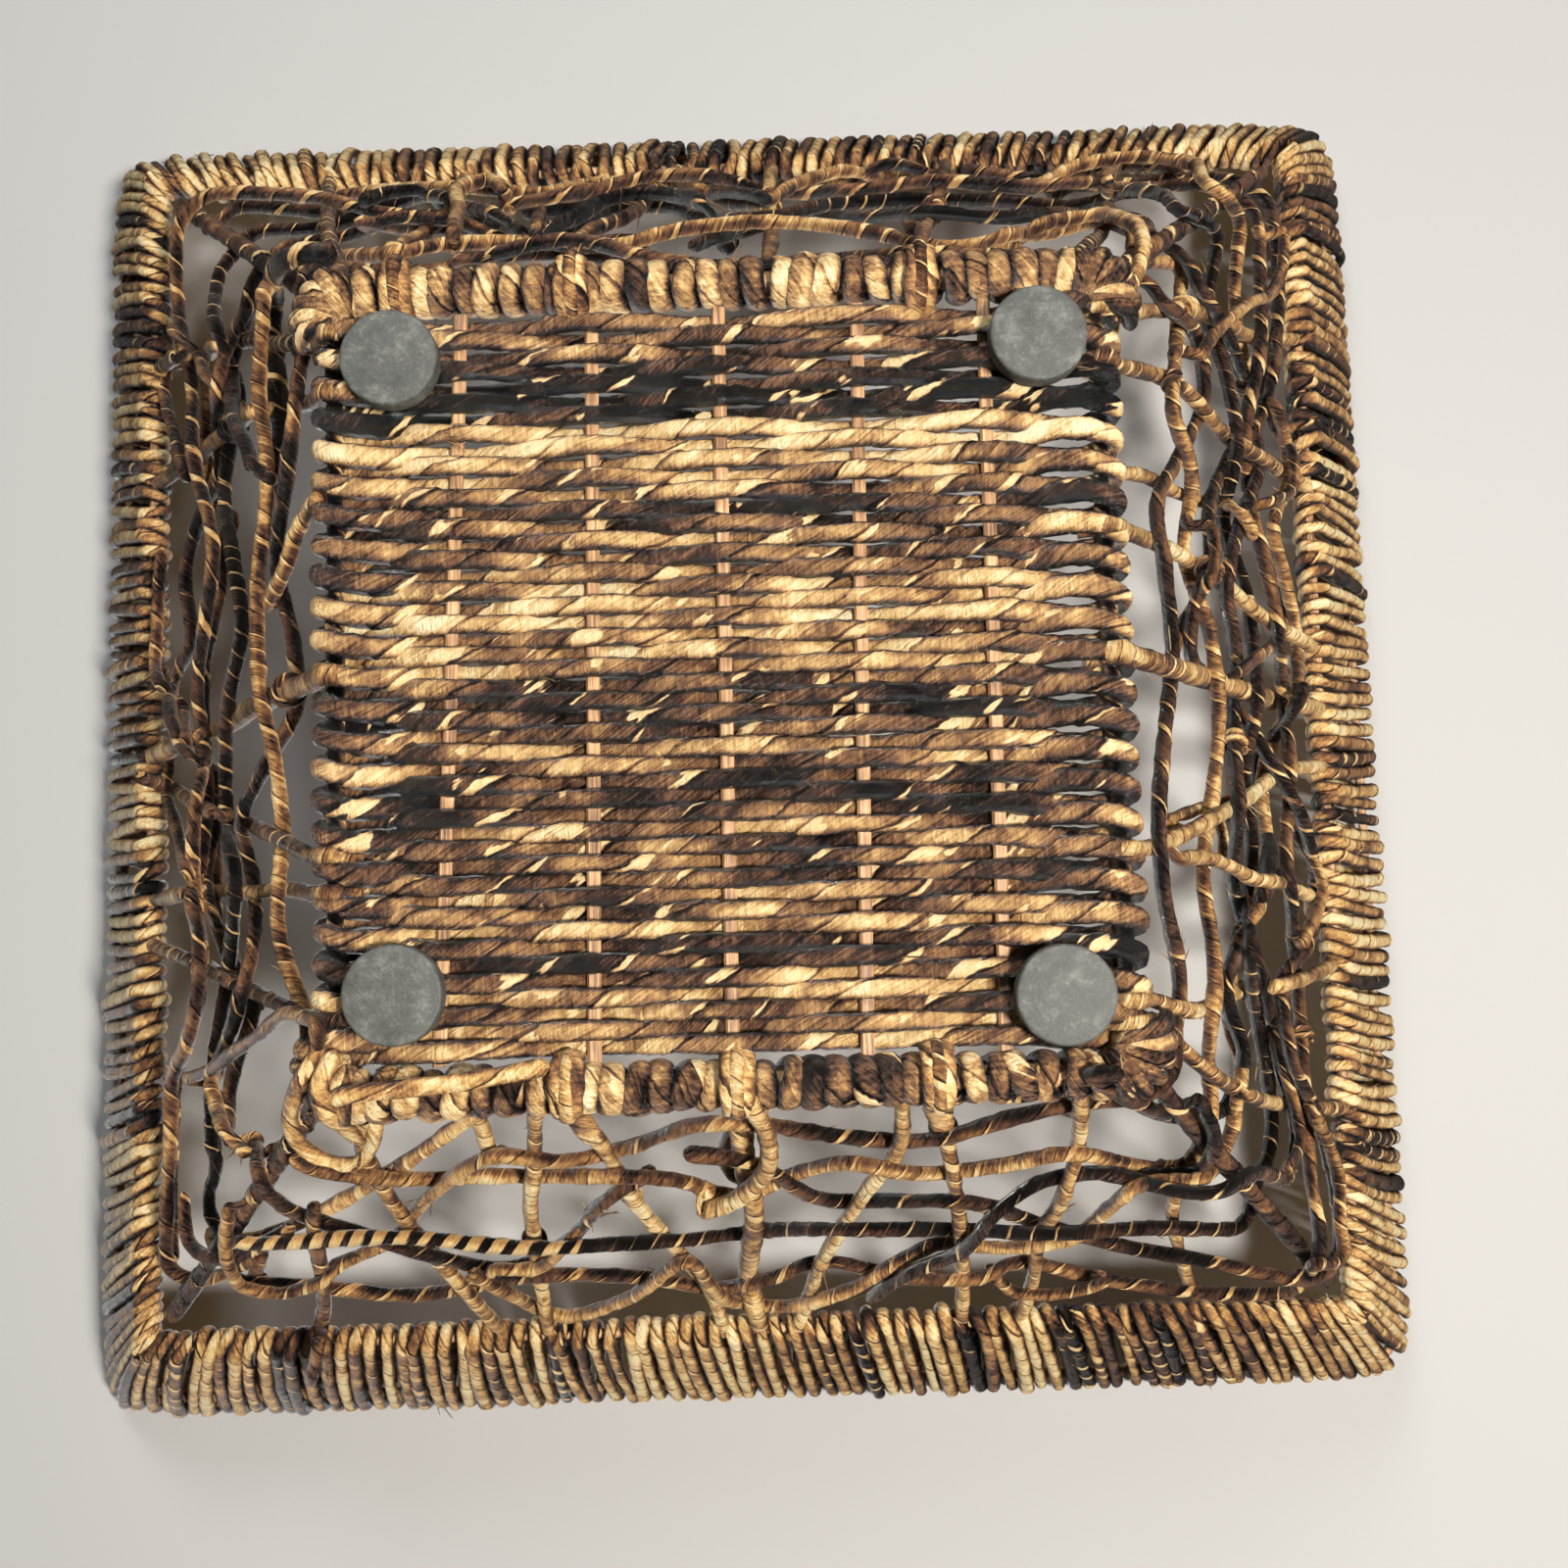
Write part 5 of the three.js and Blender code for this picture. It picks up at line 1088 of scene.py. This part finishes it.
def rim_rope(side, turns, steps=24):
    """The rope wound round the two hoops along one side, turn by turn, fanned at the corners."""
    rng = np.random.default_rng(11 + side)
    looks = RIM_LOOKS[list(SIDES)[side]]
    length = 2 * np.linalg.norm(BAND_HIGH - BAND_LOW) + 2 * math.pi * WRAP_RADIUS
    count = turns * steps + 1
    at = np.arange(count) / steps
    turn = np.minimum(at.astype(int), turns - 1)
    spot = (at - np.floor(at)) * length
    loose = (rng.uniform(-0.25, 0.5, turns) + rng.choice([0, 0, 0, 0, 0, 0, 1.0], turns))[turn]
    centre, away, up_share, bend = band_section(spot, loose)
    reach = 1 - 1.2 / RIM_LOW[0]
    share = (2 * at / turns - 1) * reach
    pitch = 2 / turns
    lean = rng.normal(0, 0.3, turns)[turn] * (up_share - 0.5) * np.where(bend < 2, 1, 0)
    share = share + pitch * (rng.uniform(-0.16, 0.16, turns)[turn] + lean)
    share = np.clip(share, -reach, reach)
    fan = 0.68 * share + 0.32 * share * np.abs(share) ** 7
    pass_share = np.mod(spot + math.pi * WRAP_RADIUS / 2, length) / (length / 2)
    slant = np.interp(share, (-1, -0.5, 0, 0.5, 1), looks["slant"]) + 1.6 * wave(rng, share, 0.5)
    passed = np.minimum(pass_share, 2 - pass_share)
    slant = slant * (1 - share ** 4) * (passed - 0.5)
    slant = slant + looks["hook"] * (1 - share ** 8) * np.exp(-passed / 0.1)
    along = share * BAND_HIGH[0] + (centre[:, 0] - BAND_HIGH[0]) * fan + slant
    outer = np.clip((centre[:, 0] - BAND_LOW[0]) / (BAND_HIGH[0] - BAND_LOW[0]), 0, 1.2)
    ease = RIM_EASE * np.abs(share) ** 22 * outer
    line = on_side(side, along - np.sign(share) * ease, centre[:, 0] - ease, centre[:, 1])
    guide = on_side(side, np.zeros(count), away[:, 0], away[:, 1])
    mood = np.interp(share, np.linspace(-1, 1, len(looks["moods"])), looks["moods"])
    tone = mood + looks["lift"] + rng.normal(0, looks["spread"], turns)[turn]
    cream = rng.choice([-0.15, -0.05, 0.0, 0.05, 0.2], turns)[turn]
    girth = RIM_GIRTH * rng.uniform(0.84, 1.14, turns)[turn]
    girth = girth * (1 - 0.3 * share ** 8 * (1 - np.clip(outer, 0, 1)))
    return Rope(line, guide, girth, np.clip(tone, 0.14, 0.92), cream, 20 + side,
                spacing=1.4, wander=0.05, pitch=12.0)


def hoop_rope(reach, height):
    """Thin cane round all four sides, rounded a little at the corners."""
    laps = np.linspace(0, 4, 161)
    side = np.round(laps).astype(int)
    # Only the last 0.07 of half a side bends
    corner = np.clip(np.abs(2 * (laps - side)) - 0.93, 0, 0.07) / 0.07
    along = 2 * (laps - side) * reach
    ease = HOOP_EASE * corner ** 2
    line = on_side(side, along - np.sign(along) * ease, reach - ease, height)
    return Rope(line, np.tile([0.0, 0.0, 1.0], (len(line), 1)), 1.6, 0.4, 0, 60, spacing=4.0)


# How pale the bark of the back and the front bar is, by places along them in mm
BAR_MOODS = {0: ([-90, -40, -10, 30, 90], [0.76, 0.68, 0.44, 0.4, 0.68]), 2: ([0], [0.69])}


def bar_rope(side, turns, steps=12):
    """Thick bark wound round an end bar of the base."""
    rng = np.random.default_rng(40 + side)
    count = turns * steps + 1
    at = np.arange(count) / steps
    turn = np.minimum(at.astype(int), turns - 1)
    angle = 2 * math.pi * at
    swell = rng.uniform(-0.3, 0.5, turns)[turn]
    along = BARK_LENGTH * (at / turns - 0.5) + rng.uniform(-1.3, 1.3, turns)[turn]
    along = along + rng.normal(-1.2, 1.0, turns)[turn] * np.cos(angle)
    radius = BARK_RADIUS + swell
    line = on_side(side, along, BAR_HALF + radius * np.cos(angle), BASE_LEVEL + radius * np.sin(angle))
    guide = on_side(side, np.zeros(count), np.cos(angle), np.sin(angle))
    mood = np.interp(along, *BAR_MOODS[side])
    tone = mood + rng.normal(0, 0.12, turns)[turn]
    cream = rng.choice([-0.15, -0.1, -0.05, 0.12], turns)[turn]
    girth = BARK_GIRTH * rng.uniform(0.84, 1.16, turns)[turn]
    return Rope(line, guide, girth, np.clip(tone, 0.12, 0.85), cream, 50 + side,
                spacing=0.8, wander=0.06, pitch=17.0)


def corner_rope(side, way, turns=6, steps=12):
    """The rope lashed round the corner where an end bar, a side rod and a post meet."""
    rng = np.random.default_rng(60 + side + way)
    at = np.arange(turns * steps + 1) / steps
    swing = np.radians(np.interp(at, [0, turns], [-12, 112]))
    angle = 2 * math.pi * at
    radius = LASHING_RADIUS + rng.uniform(-0.4, 0.7, turns + 1)[at.astype(int)]
    bend = LASHING_BEND
    along = LASHING_START + (bend + radius * np.cos(angle)) * np.sin(swing)
    out = BAR_HALF - bend + (bend + radius * np.cos(angle)) * np.cos(swing)
    line = on_side(side, way * along, out, BASE_LEVEL + radius * np.sin(angle))
    guide = on_side(side, way * np.cos(angle) * np.sin(swing), np.cos(angle) * np.cos(swing), np.sin(angle))
    tone = 0.5 + rng.normal(0, 0.1, turns + 1)[at.astype(int)]
    return Rope(line, guide, BARK_GIRTH, tone, 0.0, 70 + side + way,
                spacing=0.9, wander=0.05, pitch=26.0)


# The base weave's rows from the front to the back: how pale each is
ROW_TONES = (
    0.5, 0.46, 0.4, 0.3, 0.2, 0.16, 0.18, 0.72, 0.74, 0.62, 0.6, 0.5, 0.3, 0.4, 0.5, 0.44,
    0.5, 0.6, 0.62, 0.66, 0.52, 0.6, 0.56, 0.4, 0.34, 0.3, 0.42, 0.56, 0.5, 0.34, 0.3, 0.36,
    0.5, 0.42, 0.46, 0.4, 0.5, 0.46, 0.58, 0.34, 0.3, 0.5, 0.6, 0.5, 0.52, 0.56,
)


def base_rope():
    """One rope to and fro over and under the slats, and round the side rods."""
    rng = np.random.default_rng(5)
    rows = len(ROW_TONES)
    half = RAIL_END - WEAVE_EDGE
    pitch = 2 * half / (rows - 1)
    centres, tones = [], []

    def corner(row, angles):
        way = -1 if row % 2 else 1
        up = -1 if (len(SLAT_ENDS) + row) % 2 and way > 0 else 1
        for angle in angles:
            share = (100 - angle) / 200
            bend = math.radians(angle)
            centres.append((way * (SIDE_ROD_X + WEAVE_TURN * math.cos(bend)),
                            -half + pitch * (row + share),
                            BASE_LEVEL + up * WEAVE_TURN * 0.9 * math.sin(bend)))
            tones.append(ROW_TONES[min(max(row, 0), rows - 1)])

    corner(-1, [-100])
    for row in range(rows):
        y = -half + pitch * row
        order = range(len(SLAT_ENDS))
        shift = rng.uniform(-0.12, 0.12)
        for slat in (reversed(order) if row % 2 else order):
            front, back = SLAT_ENDS[slat]
            x = BAR_HALF * (front + (back - front) * (y + RAIL_END) / (2 * RAIL_END))
            up = -1 if (slat + row) % 2 else 1
            centres.append((x, y + shift + rng.uniform(-0.25, 0.25), BASE_LEVEL + up * WEAVE_RISE * 0.84))
            tones.append(ROW_TONES[row])
        corner(row, [100, 50, 0, -50, -100] if row < rows - 1 else [100])
    guides = np.tile([0.0, 1.0, 0.0], (len(centres), 1))
    rope = Rope(centres, guides, WEAVE_GIRTH, tones, -0.05, 6, spacing=1.25, wander=0.06, pitch=24.0)
    rope.tone = 0.51 + 1.25 * (rope.tone - 0.46) + 0.12 * wave(rope.rng, rope.at, 60)
    rope.cream = rope.cream + 0.3 * np.maximum(0, wave(rope.rng, rope.at, 45) - 0.2)
    rope.girth = rope.girth * (1 + 0.2 * np.clip((np.abs(rope.line[:, 0]) - 66) / 16, 0, 1))
    return rope


def edge_rope(way, count=80):
    """Bark along a side rod of the base, under the weave's loops."""
    y = np.linspace(-RAIL_END, RAIL_END, count)
    line = np.stack([np.full(count, way * SIDE_ROD_X), y, BASE_LEVEL + 0.6 * np.sin(y * 0.9)], 1)
    guides = np.tile([0.0, 0.0, 1.0], (count, 1))
    return Rope(line, guides, 2.3, 0.34, 0.1, 90 + way, spacing=1.3, wander=0.12, pitch=9.0)


def wound(rope, start, turns, pitch, girth, tone, seed):
    """A short coil round another rope, from a place along it."""
    at = np.arange(turns * 10 + 1) / 10
    place = np.clip(start + at * pitch, 0, rope.at[-1])
    centre = spread(place, rope.at, rope.line)
    normal = unit(spread(place, rope.at, rope.guide))
    tangent = unit(spread(place, rope.at, np.gradient(rope.line, axis=0)))
    across = np.cross(tangent, normal)
    angle = 2 * math.pi * at[:, None]
    away = np.cos(angle) * normal + np.sin(angle) * across
    radius = np.interp(place, rope.at, rope.girth)[:, None] + girth * 0.8
    line = centre + away * radius
    return Rope(line, away, girth, tone, 0.1, seed, spacing=0.7, wander=0.1, pitch=9.0).taper(2.0)


# Ropes over the back left corner and along the back bar: radius, tone and points in mm
CORNER_ROPES = (
    (2.5, 0.8, "-98 92 4, -99 95 2.8, -101 100 2.6, -100 106 4, -98 112 15, -98 116 25, -99 117 32"),
    (2.2, 0.7, "-92 110 20, -93 114 23, -96 119 29, -100 123 33, -107 123 34, -113 118 29, -114 111 21, "
               "-110 104 11, -105 97 4, -100 91 4"),
    (2.3, 0.82, "-99 104 4, -95 102.6 2.6, -84 101.6 2.5, -70 100.6 2.5, -58 99 2.6, -45 97 3.4"),
)


def lashings():
    """Loose loops at the back left corner, and coils round ropes of the walls at their joints."""
    ropes = []
    for i, (radius, tone, text) in enumerate(CORNER_ROPES):
        points = points_of(text)
        guides = np.tile([0.0, 0.3, -1.0], (len(points), 1))
        ropes.append(Rope(points, guides, radius, tone, 0.12, 80 + i,
                          spacing=1.0, wander=0.04, pitch=24.0).taper())
    rng = np.random.default_rng(17)
    for i, rope in enumerate(WALL_ROPES):
        for _ in range(1 + (rope.at[-1] > 500) * 2):
            if rope.at[-1] > 60 and rng.uniform() < 0.35:
                ropes.append(wound(rope, rng.uniform(0.15, 0.85) * rope.at[-1], rng.integers(2, 4), 2.2,
                                   rng.uniform(0.8, 1.15), rng.uniform(0.3, 0.75), 500 + i))
    return ropes


def fibres(count):
    """Loose fibres that stand off the ropes, alone and in frayed tufts."""
    rng = np.random.default_rng(23)
    ropes = []
    sources = [rope for rope in ALL_ROPES if rope.at[-1] > 20]
    weights = np.array([min(rope.at[-1], 2500) for rope in sources])
    while len(ropes) < count:
        rope = sources[rng.choice(len(sources), p=weights / weights.sum())]
        k = rng.integers(2, len(rope.line) - 3)
        tangent = unit(rope.line[k + 1] - rope.line[k]) * rng.choice([-1, 1])
        tuft = rng.choice([1, 1, 1, 1, 7])
        for _ in range(tuft):
            away = unit(np.cross(tangent, rng.normal(size=3)))
            length = rng.uniform(2.5, 8)
            s = np.linspace(0, 1, 5)[:, None]
            rise = away * (rope.girth[k] * 0.8 + length * 0.4 * s ** 1.5)
            line = rope.line[k] + tangent * length * s + rise + rng.normal(0, 0.3, 3) * s * s * length * 0.4
            fibre = Rope(line, np.tile(away, (5, 1)), 0.17, rng.uniform(0.5, 0.95), 0, len(ropes), 1.6)
            ropes.append(fibre.taper(1.5, 0.2))
    return ropes


def disc(name, centre, radius, height, ease, segments=96):
    """A flat disc with rounded edges, standing on the table."""
    steps = [math.radians(a) for a in (0, 22.5, 45, 67.5, 90)]
    profile = [(0.0, 0.0)]
    profile += [(radius - ease + ease * math.sin(a), ease - ease * math.cos(a)) for a in steps]
    profile += [(radius - ease + ease * math.cos(a), height - ease + ease * math.sin(a)) for a in steps]
    points, faces = [(0, 0, 0), (0, 0, height)], []
    rings = len(profile) - 1
    for r, z in profile[1:]:
        points += [(r * math.cos(2 * math.pi * k / segments), r * math.sin(2 * math.pi * k / segments), z)
                   for k in range(segments)]

    def at(ring, k):
        return 2 + ring * segments + k % segments

    for k in range(segments):
        faces.append((0, at(0, k + 1), at(0, k)))
        faces.append((1, at(rings - 1, k), at(rings - 1, k + 1)))
        faces += [(at(i, k), at(i, k + 1), at(i + 1, k + 1), at(i + 1, k)) for i in range(rings - 1)]
    points = [((x + centre[0]) * MM, (y + centre[1]) * MM, z * MM) for x, y, z in points]
    mesh = bpy.data.meshes.new(name)
    mesh.from_pydata(points, [], faces)
    mesh.polygons.foreach_set("use_smooth", [True] * len(mesh.polygons))
    return mesh


# Stage

# Lamps: place and aim in metres, size, power, colour, and whether they shine on the ropes' gloss
LAMPS = {
    "key_low": ((0.5, 0.25, -1.05), (0, 0, 0.1), 0.2, 33, (1.0, 0.94, 0.86), True),
    "fill_low": ((-0.25, -0.8, -0.85), (0, 0, 0.1), 0.35, 8.5, (0.96, 0.98, 1.0), True),
    "key_high": ((0.25, -0.35, 1.5), (0, 0, 0.05), 1.6, 24, (1.0, 0.96, 0.9), False),
    "fill_high": ((-0.6, 0.4, 1.2), (0, 0, 0.05), 1.4, 12, (1.0, 0.99, 0.96), True),
}
FLOOR_WIDTH = 12.0
FLOOR_LEVEL = -0.0004
FADE_START = 0.7                 # how far out a plane starts to fade to the backdrop, in metres
FADE_LENGTH = 1.3
TABLE_WIDTH = 1.3
TABLE_GAP = 0.0068               # from the upper hoop to the table that the rim lies on, in metres
SENSOR = 36.0


def plane(name, size, z, colour, backdrop, faces_down):
    """One side of a plane for the camera only. It takes shadows, casts none, and fades to the backdrop."""
    half = size / 2
    corners = [(-half, -half, z), (half, -half, z), (half, half, z), (-half, half, z)]
    mesh = bpy.data.meshes.new(name)
    mesh.from_pydata(corners, [], [(0, 3, 2, 1) if faces_down else (0, 1, 2, 3)])
    material, nodes, output = new_material(name)
    facing = 1 - nodes.add("ShaderNodeNewGeometry", None, None, "Backfacing")
    seen = nodes.add("ShaderNodeLightPath", None, None, "Is Camera Ray")
    plain = nodes.add("ShaderNodeBsdfDiffuse", None, {"Color": (*colour, 1)})
    far = nodes.add("ShaderNodeVectorMath", {"operation": "LENGTH"},
                    {0: nodes.add("ShaderNodeTexCoord", None, None, "Object")}, "Value")
    glow = nodes.add("ShaderNodeEmission", None, {"Color": (*backdrop, 1), "Strength": 1.0})
    fade = ((far - FADE_START) / FADE_LENGTH).clamp()
    surface = nodes.add("ShaderNodeMixShader", None, {0: fade, 1: plain, 2: glow})
    clear = nodes.add("ShaderNodeBsdfTransparent")
    mixed = nodes.add("ShaderNodeMixShader", None, {0: facing * seen, 1: clear, 2: surface})
    nodes.tree.links.new(mixed.socket, output.inputs["Surface"])
    mesh.materials.append(material)
    floor = bpy.data.objects.new(name, mesh)
    bpy.context.scene.collection.objects.link(floor)


def lamp(name, place, aim, size, power, colour, sheen):
    """A soft square lamp that points at a spot, with or without a sheen of its own."""
    light = bpy.data.lights.new(name, "AREA")
    light.size, light.energy, light.color = size, power, colour
    holder = bpy.data.objects.new(name, light)
    holder.location = place
    holder.visible_glossy = sheen
    holder.rotation_mode = "QUATERNION"
    holder.rotation_quaternion = (Vector(aim) - Vector(place)).to_track_quat("-Z", "Y")
    bpy.context.scene.collection.objects.link(holder)


def studio(context, looks):
    """Even light all round, which the camera sees as the backdrop."""
    world = bpy.data.worlds.new("Studio")
    world.use_nodes = True
    world.node_tree.nodes.clear()
    nodes = Nodes(world.node_tree)
    seen = nodes.add("ShaderNodeLightPath", None, None, "Is Camera Ray")
    glow = nodes.add("ShaderNodeBackground", None, {"Color": (1, 1, 1, 1), "Strength": looks.world_light})
    back = nodes.add("ShaderNodeBackground", None, {"Color": (*looks.backdrop, 1), "Strength": 1.0})
    mixed = nodes.add("ShaderNodeMixShader", None, {0: seen, 1: glow, 2: back})
    output = world.node_tree.nodes.new("ShaderNodeOutputWorld")
    world.node_tree.links.new(mixed.socket, output.inputs["Surface"])
    context.scene.world = world
    context.scene.view_settings.view_transform = "Standard"


def camera(context, looks):
    """The camera at the photograph's viewing angle, under the basket."""
    lens = bpy.data.cameras.new("camera")
    lens.lens, lens.sensor_width = looks.lens, SENSOR
    lens.clip_start = 0.01
    holder = bpy.data.objects.new("camera", lens)
    holder.location = [x * MM for x in CAMERA_PLACE]
    holder.rotation_euler = [math.radians(a) for a in CAMERA_TURN]
    context.scene.collection.objects.link(holder)
    context.scene.camera = holder


def grey_setting(name, description, grey):
    """A setting for a colour that starts as a grey."""
    return bpy.props.FloatVectorProperty(
        name=name, description=description, subtype="COLOR", default=(grey, grey, grey))


class BasketLooks(bpy.types.PropertyGroup):
    """Sizes and colours of the dressed basket."""

    rim_turns: bpy.props.IntProperty(
        name="Rim turns", description="Turns of rope on each side of the rim", default=84)
    bar_turns: bpy.props.IntProperty(
        name="Bar turns", description="Turns of bark on each end bar", default=31)
    fibres: bpy.props.IntProperty(
        name="Fibres", description="Loose fibres on the ropes", default=900)
    lens: bpy.props.FloatProperty(
        name="Lens", description="Camera lens on a 36 mm sensor", default=36.0)
    floor_colour: grey_setting("Floor", "Colour of the floor", 0.66)
    table_colour: grey_setting("Table", "Colour of the table", 0.36)
    backdrop: grey_setting("Backdrop", "Colour behind everything", 0.66)
    world_light: bpy.props.FloatProperty(
        name="World light", description="Strength of the even light all round", default=0.08)


class BASKET_OT_stage(bpy.types.Operator):
    """Adds the floor, the table it lies on upside down, the lamps, the world and the camera"""

    bl_idname = "basket.stage"
    bl_label = "Stage"

    def execute(self, context):
        looks = context.scene.basket_looks
        plane("floor", FLOOR_WIDTH, FLOOR_LEVEL, looks.floor_colour, looks.backdrop, False)
        plane("table", TABLE_WIDTH, RIM_HIGH[1] * MM + TABLE_GAP, looks.table_colour, looks.backdrop, True)
        for name, settings in LAMPS.items():
            lamp(name, *settings)
        studio(context, looks)
        camera(context, looks)
        return {"FINISHED"}


class BASKET_OT_walls(bpy.types.Operator):
    """Weaves the stakes, weavers, twigs and posts of the four walls"""

    bl_idname = "basket.walls"
    bl_label = "Walls"

    def execute(self, context):
        make_walls(*lay_walls())
        rope_piece("lashings", lashings(), "tan_rope", ridge=0.08, lump=0.06)
        return {"FINISHED"}


class BASKET_OT_fibres(bpy.types.Operator):
    """Adds loose fibres and frayed tufts all over the ropes"""

    bl_idname = "basket.fibres"
    bl_label = "Fibres"

    def execute(self, context):
        loose = fibres(context.scene.basket_looks.fibres)
        rope_piece("loose_fibres", loose, "tan_rope", sides=4, ridge=0.0, lump=0.0)
        return {"FINISHED"}


class BASKET_OT_rim(bpy.types.Operator):
    """Winds rope round the rim's two hoops"""

    bl_idname = "basket.rim"
    bl_label = "Rim"

    def execute(self, context):
        turns = context.scene.basket_looks.rim_turns
        for side, name in enumerate(STAKES):
            rope_piece("rim_rope_" + name, [rim_rope(side, turns)], "rim_rope", ["rim_winding_" + name],
                       sides=12, width=1.16, ridge=0.12, lump=0.18)
        for name, hoop in (("upper", RIM_HIGH), ("lower", (RIM_LOW[0] - 1.2, RIM_LOW[1] - 1.0))):
            rope_piece("rim_cane_" + name, [hoop_rope(*hoop)], "rattan", ["rim_hoop_" + name],
                       sides=10, ridge=0.0)
        return {"FINISHED"}


class BASKET_OT_base(bpy.types.Operator):
    """Weaves the base over its slats and winds bark round the end bars"""

    bl_idname = "basket.base"
    bl_label = "Base"

    def execute(self, context):
        turns = context.scene.basket_looks.bar_turns
        rope_piece("base_rope", [base_rope()], "base_rope", ["base_weave"],
                   sides=11, width=0.85, ridge=0.16, lump=0.2)
        for side, name in ((0, "back"), (2, "front")):
            rope_piece("bar_bark_" + name, [bar_rope(side, turns)], "bar_bark", ["bar_winding_" + name],
                       sides=14, width=1.5, ridge=0.2, lump=0.25)
            corners = [corner_rope(side, way) for way in (-1, 1)]
            rope_piece("corner_lashing_" + name, corners, "bar_bark",
                       sides=14, width=1.15, ridge=0.12, lump=0.1)
            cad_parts["bar_core_" + name].material_slots[0].material = material("rattan")
        for name, way in (("right", 1), ("left", -1)):
            rope_piece("side_bark_" + name, [edge_rope(way)], "base_rope", ["side_rod_" + name])
        for i in range(len(SLAT_ENDS)):
            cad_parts[f"slat_{i + 1}"].material_slots[0].material = material("reed")
        return {"FINISHED"}


class BASKET_OT_feet(bpy.types.Operator):
    """Adds the four rubber feet"""

    bl_idname = "basket.feet"
    bl_label = "Feet"

    def execute(self, context):
        for corner, (x, y) in FEET.items():
            centre = (x * BAR_HALF, y * BAR_HALF)
            mesh = disc("foot_disc_" + corner, centre, FOOT_RADIUS, FOOT_HEIGHT, FOOT_EASE)
            mesh.materials.append(material("rubber"))
            place_piece("foot_disc_" + corner, mesh, ["foot_" + corner])
        return {"FINISHED"}


class BASKET_PT_panel(bpy.types.Panel):
    """Lists the basket's makers and its sizes and colours"""

    bl_label = "Bark Rope Basket"
    bl_idname = "BASKET_PT_panel"
    bl_space_type = "VIEW_3D"
    bl_region_type = "UI"
    bl_category = "Basket"

    def draw(self, context):
        for operator in OPERATORS:
            self.layout.operator(operator.bl_idname)
        for name in BasketLooks.__annotations__:
            self.layout.prop(context.scene.basket_looks, name)


OPERATORS = (BASKET_OT_stage, BASKET_OT_walls, BASKET_OT_rim, BASKET_OT_base, BASKET_OT_feet,
             BASKET_OT_fibres)
CLASSES = (BasketLooks, *OPERATORS, BASKET_PT_panel)


def register():
    """Adds the classes and the scene's settings."""
    for item in CLASSES:
        bpy.utils.register_class(item)
    bpy.types.Scene.basket_looks = bpy.props.PointerProperty(type=BasketLooks)


def unregister():
    """Takes them away again."""
    del bpy.types.Scene.basket_looks
    for item in reversed(CLASSES):
        bpy.utils.unregister_class(item)


def main():
    """Makes every piece in order."""
    register()
    bpy.ops.basket.stage()
    bpy.ops.basket.feet()
    bpy.ops.basket.base()
    bpy.ops.basket.rim()
    bpy.ops.basket.walls()
    bpy.ops.basket.fibres()
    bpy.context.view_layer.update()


if __name__ == "__main__":
    main()
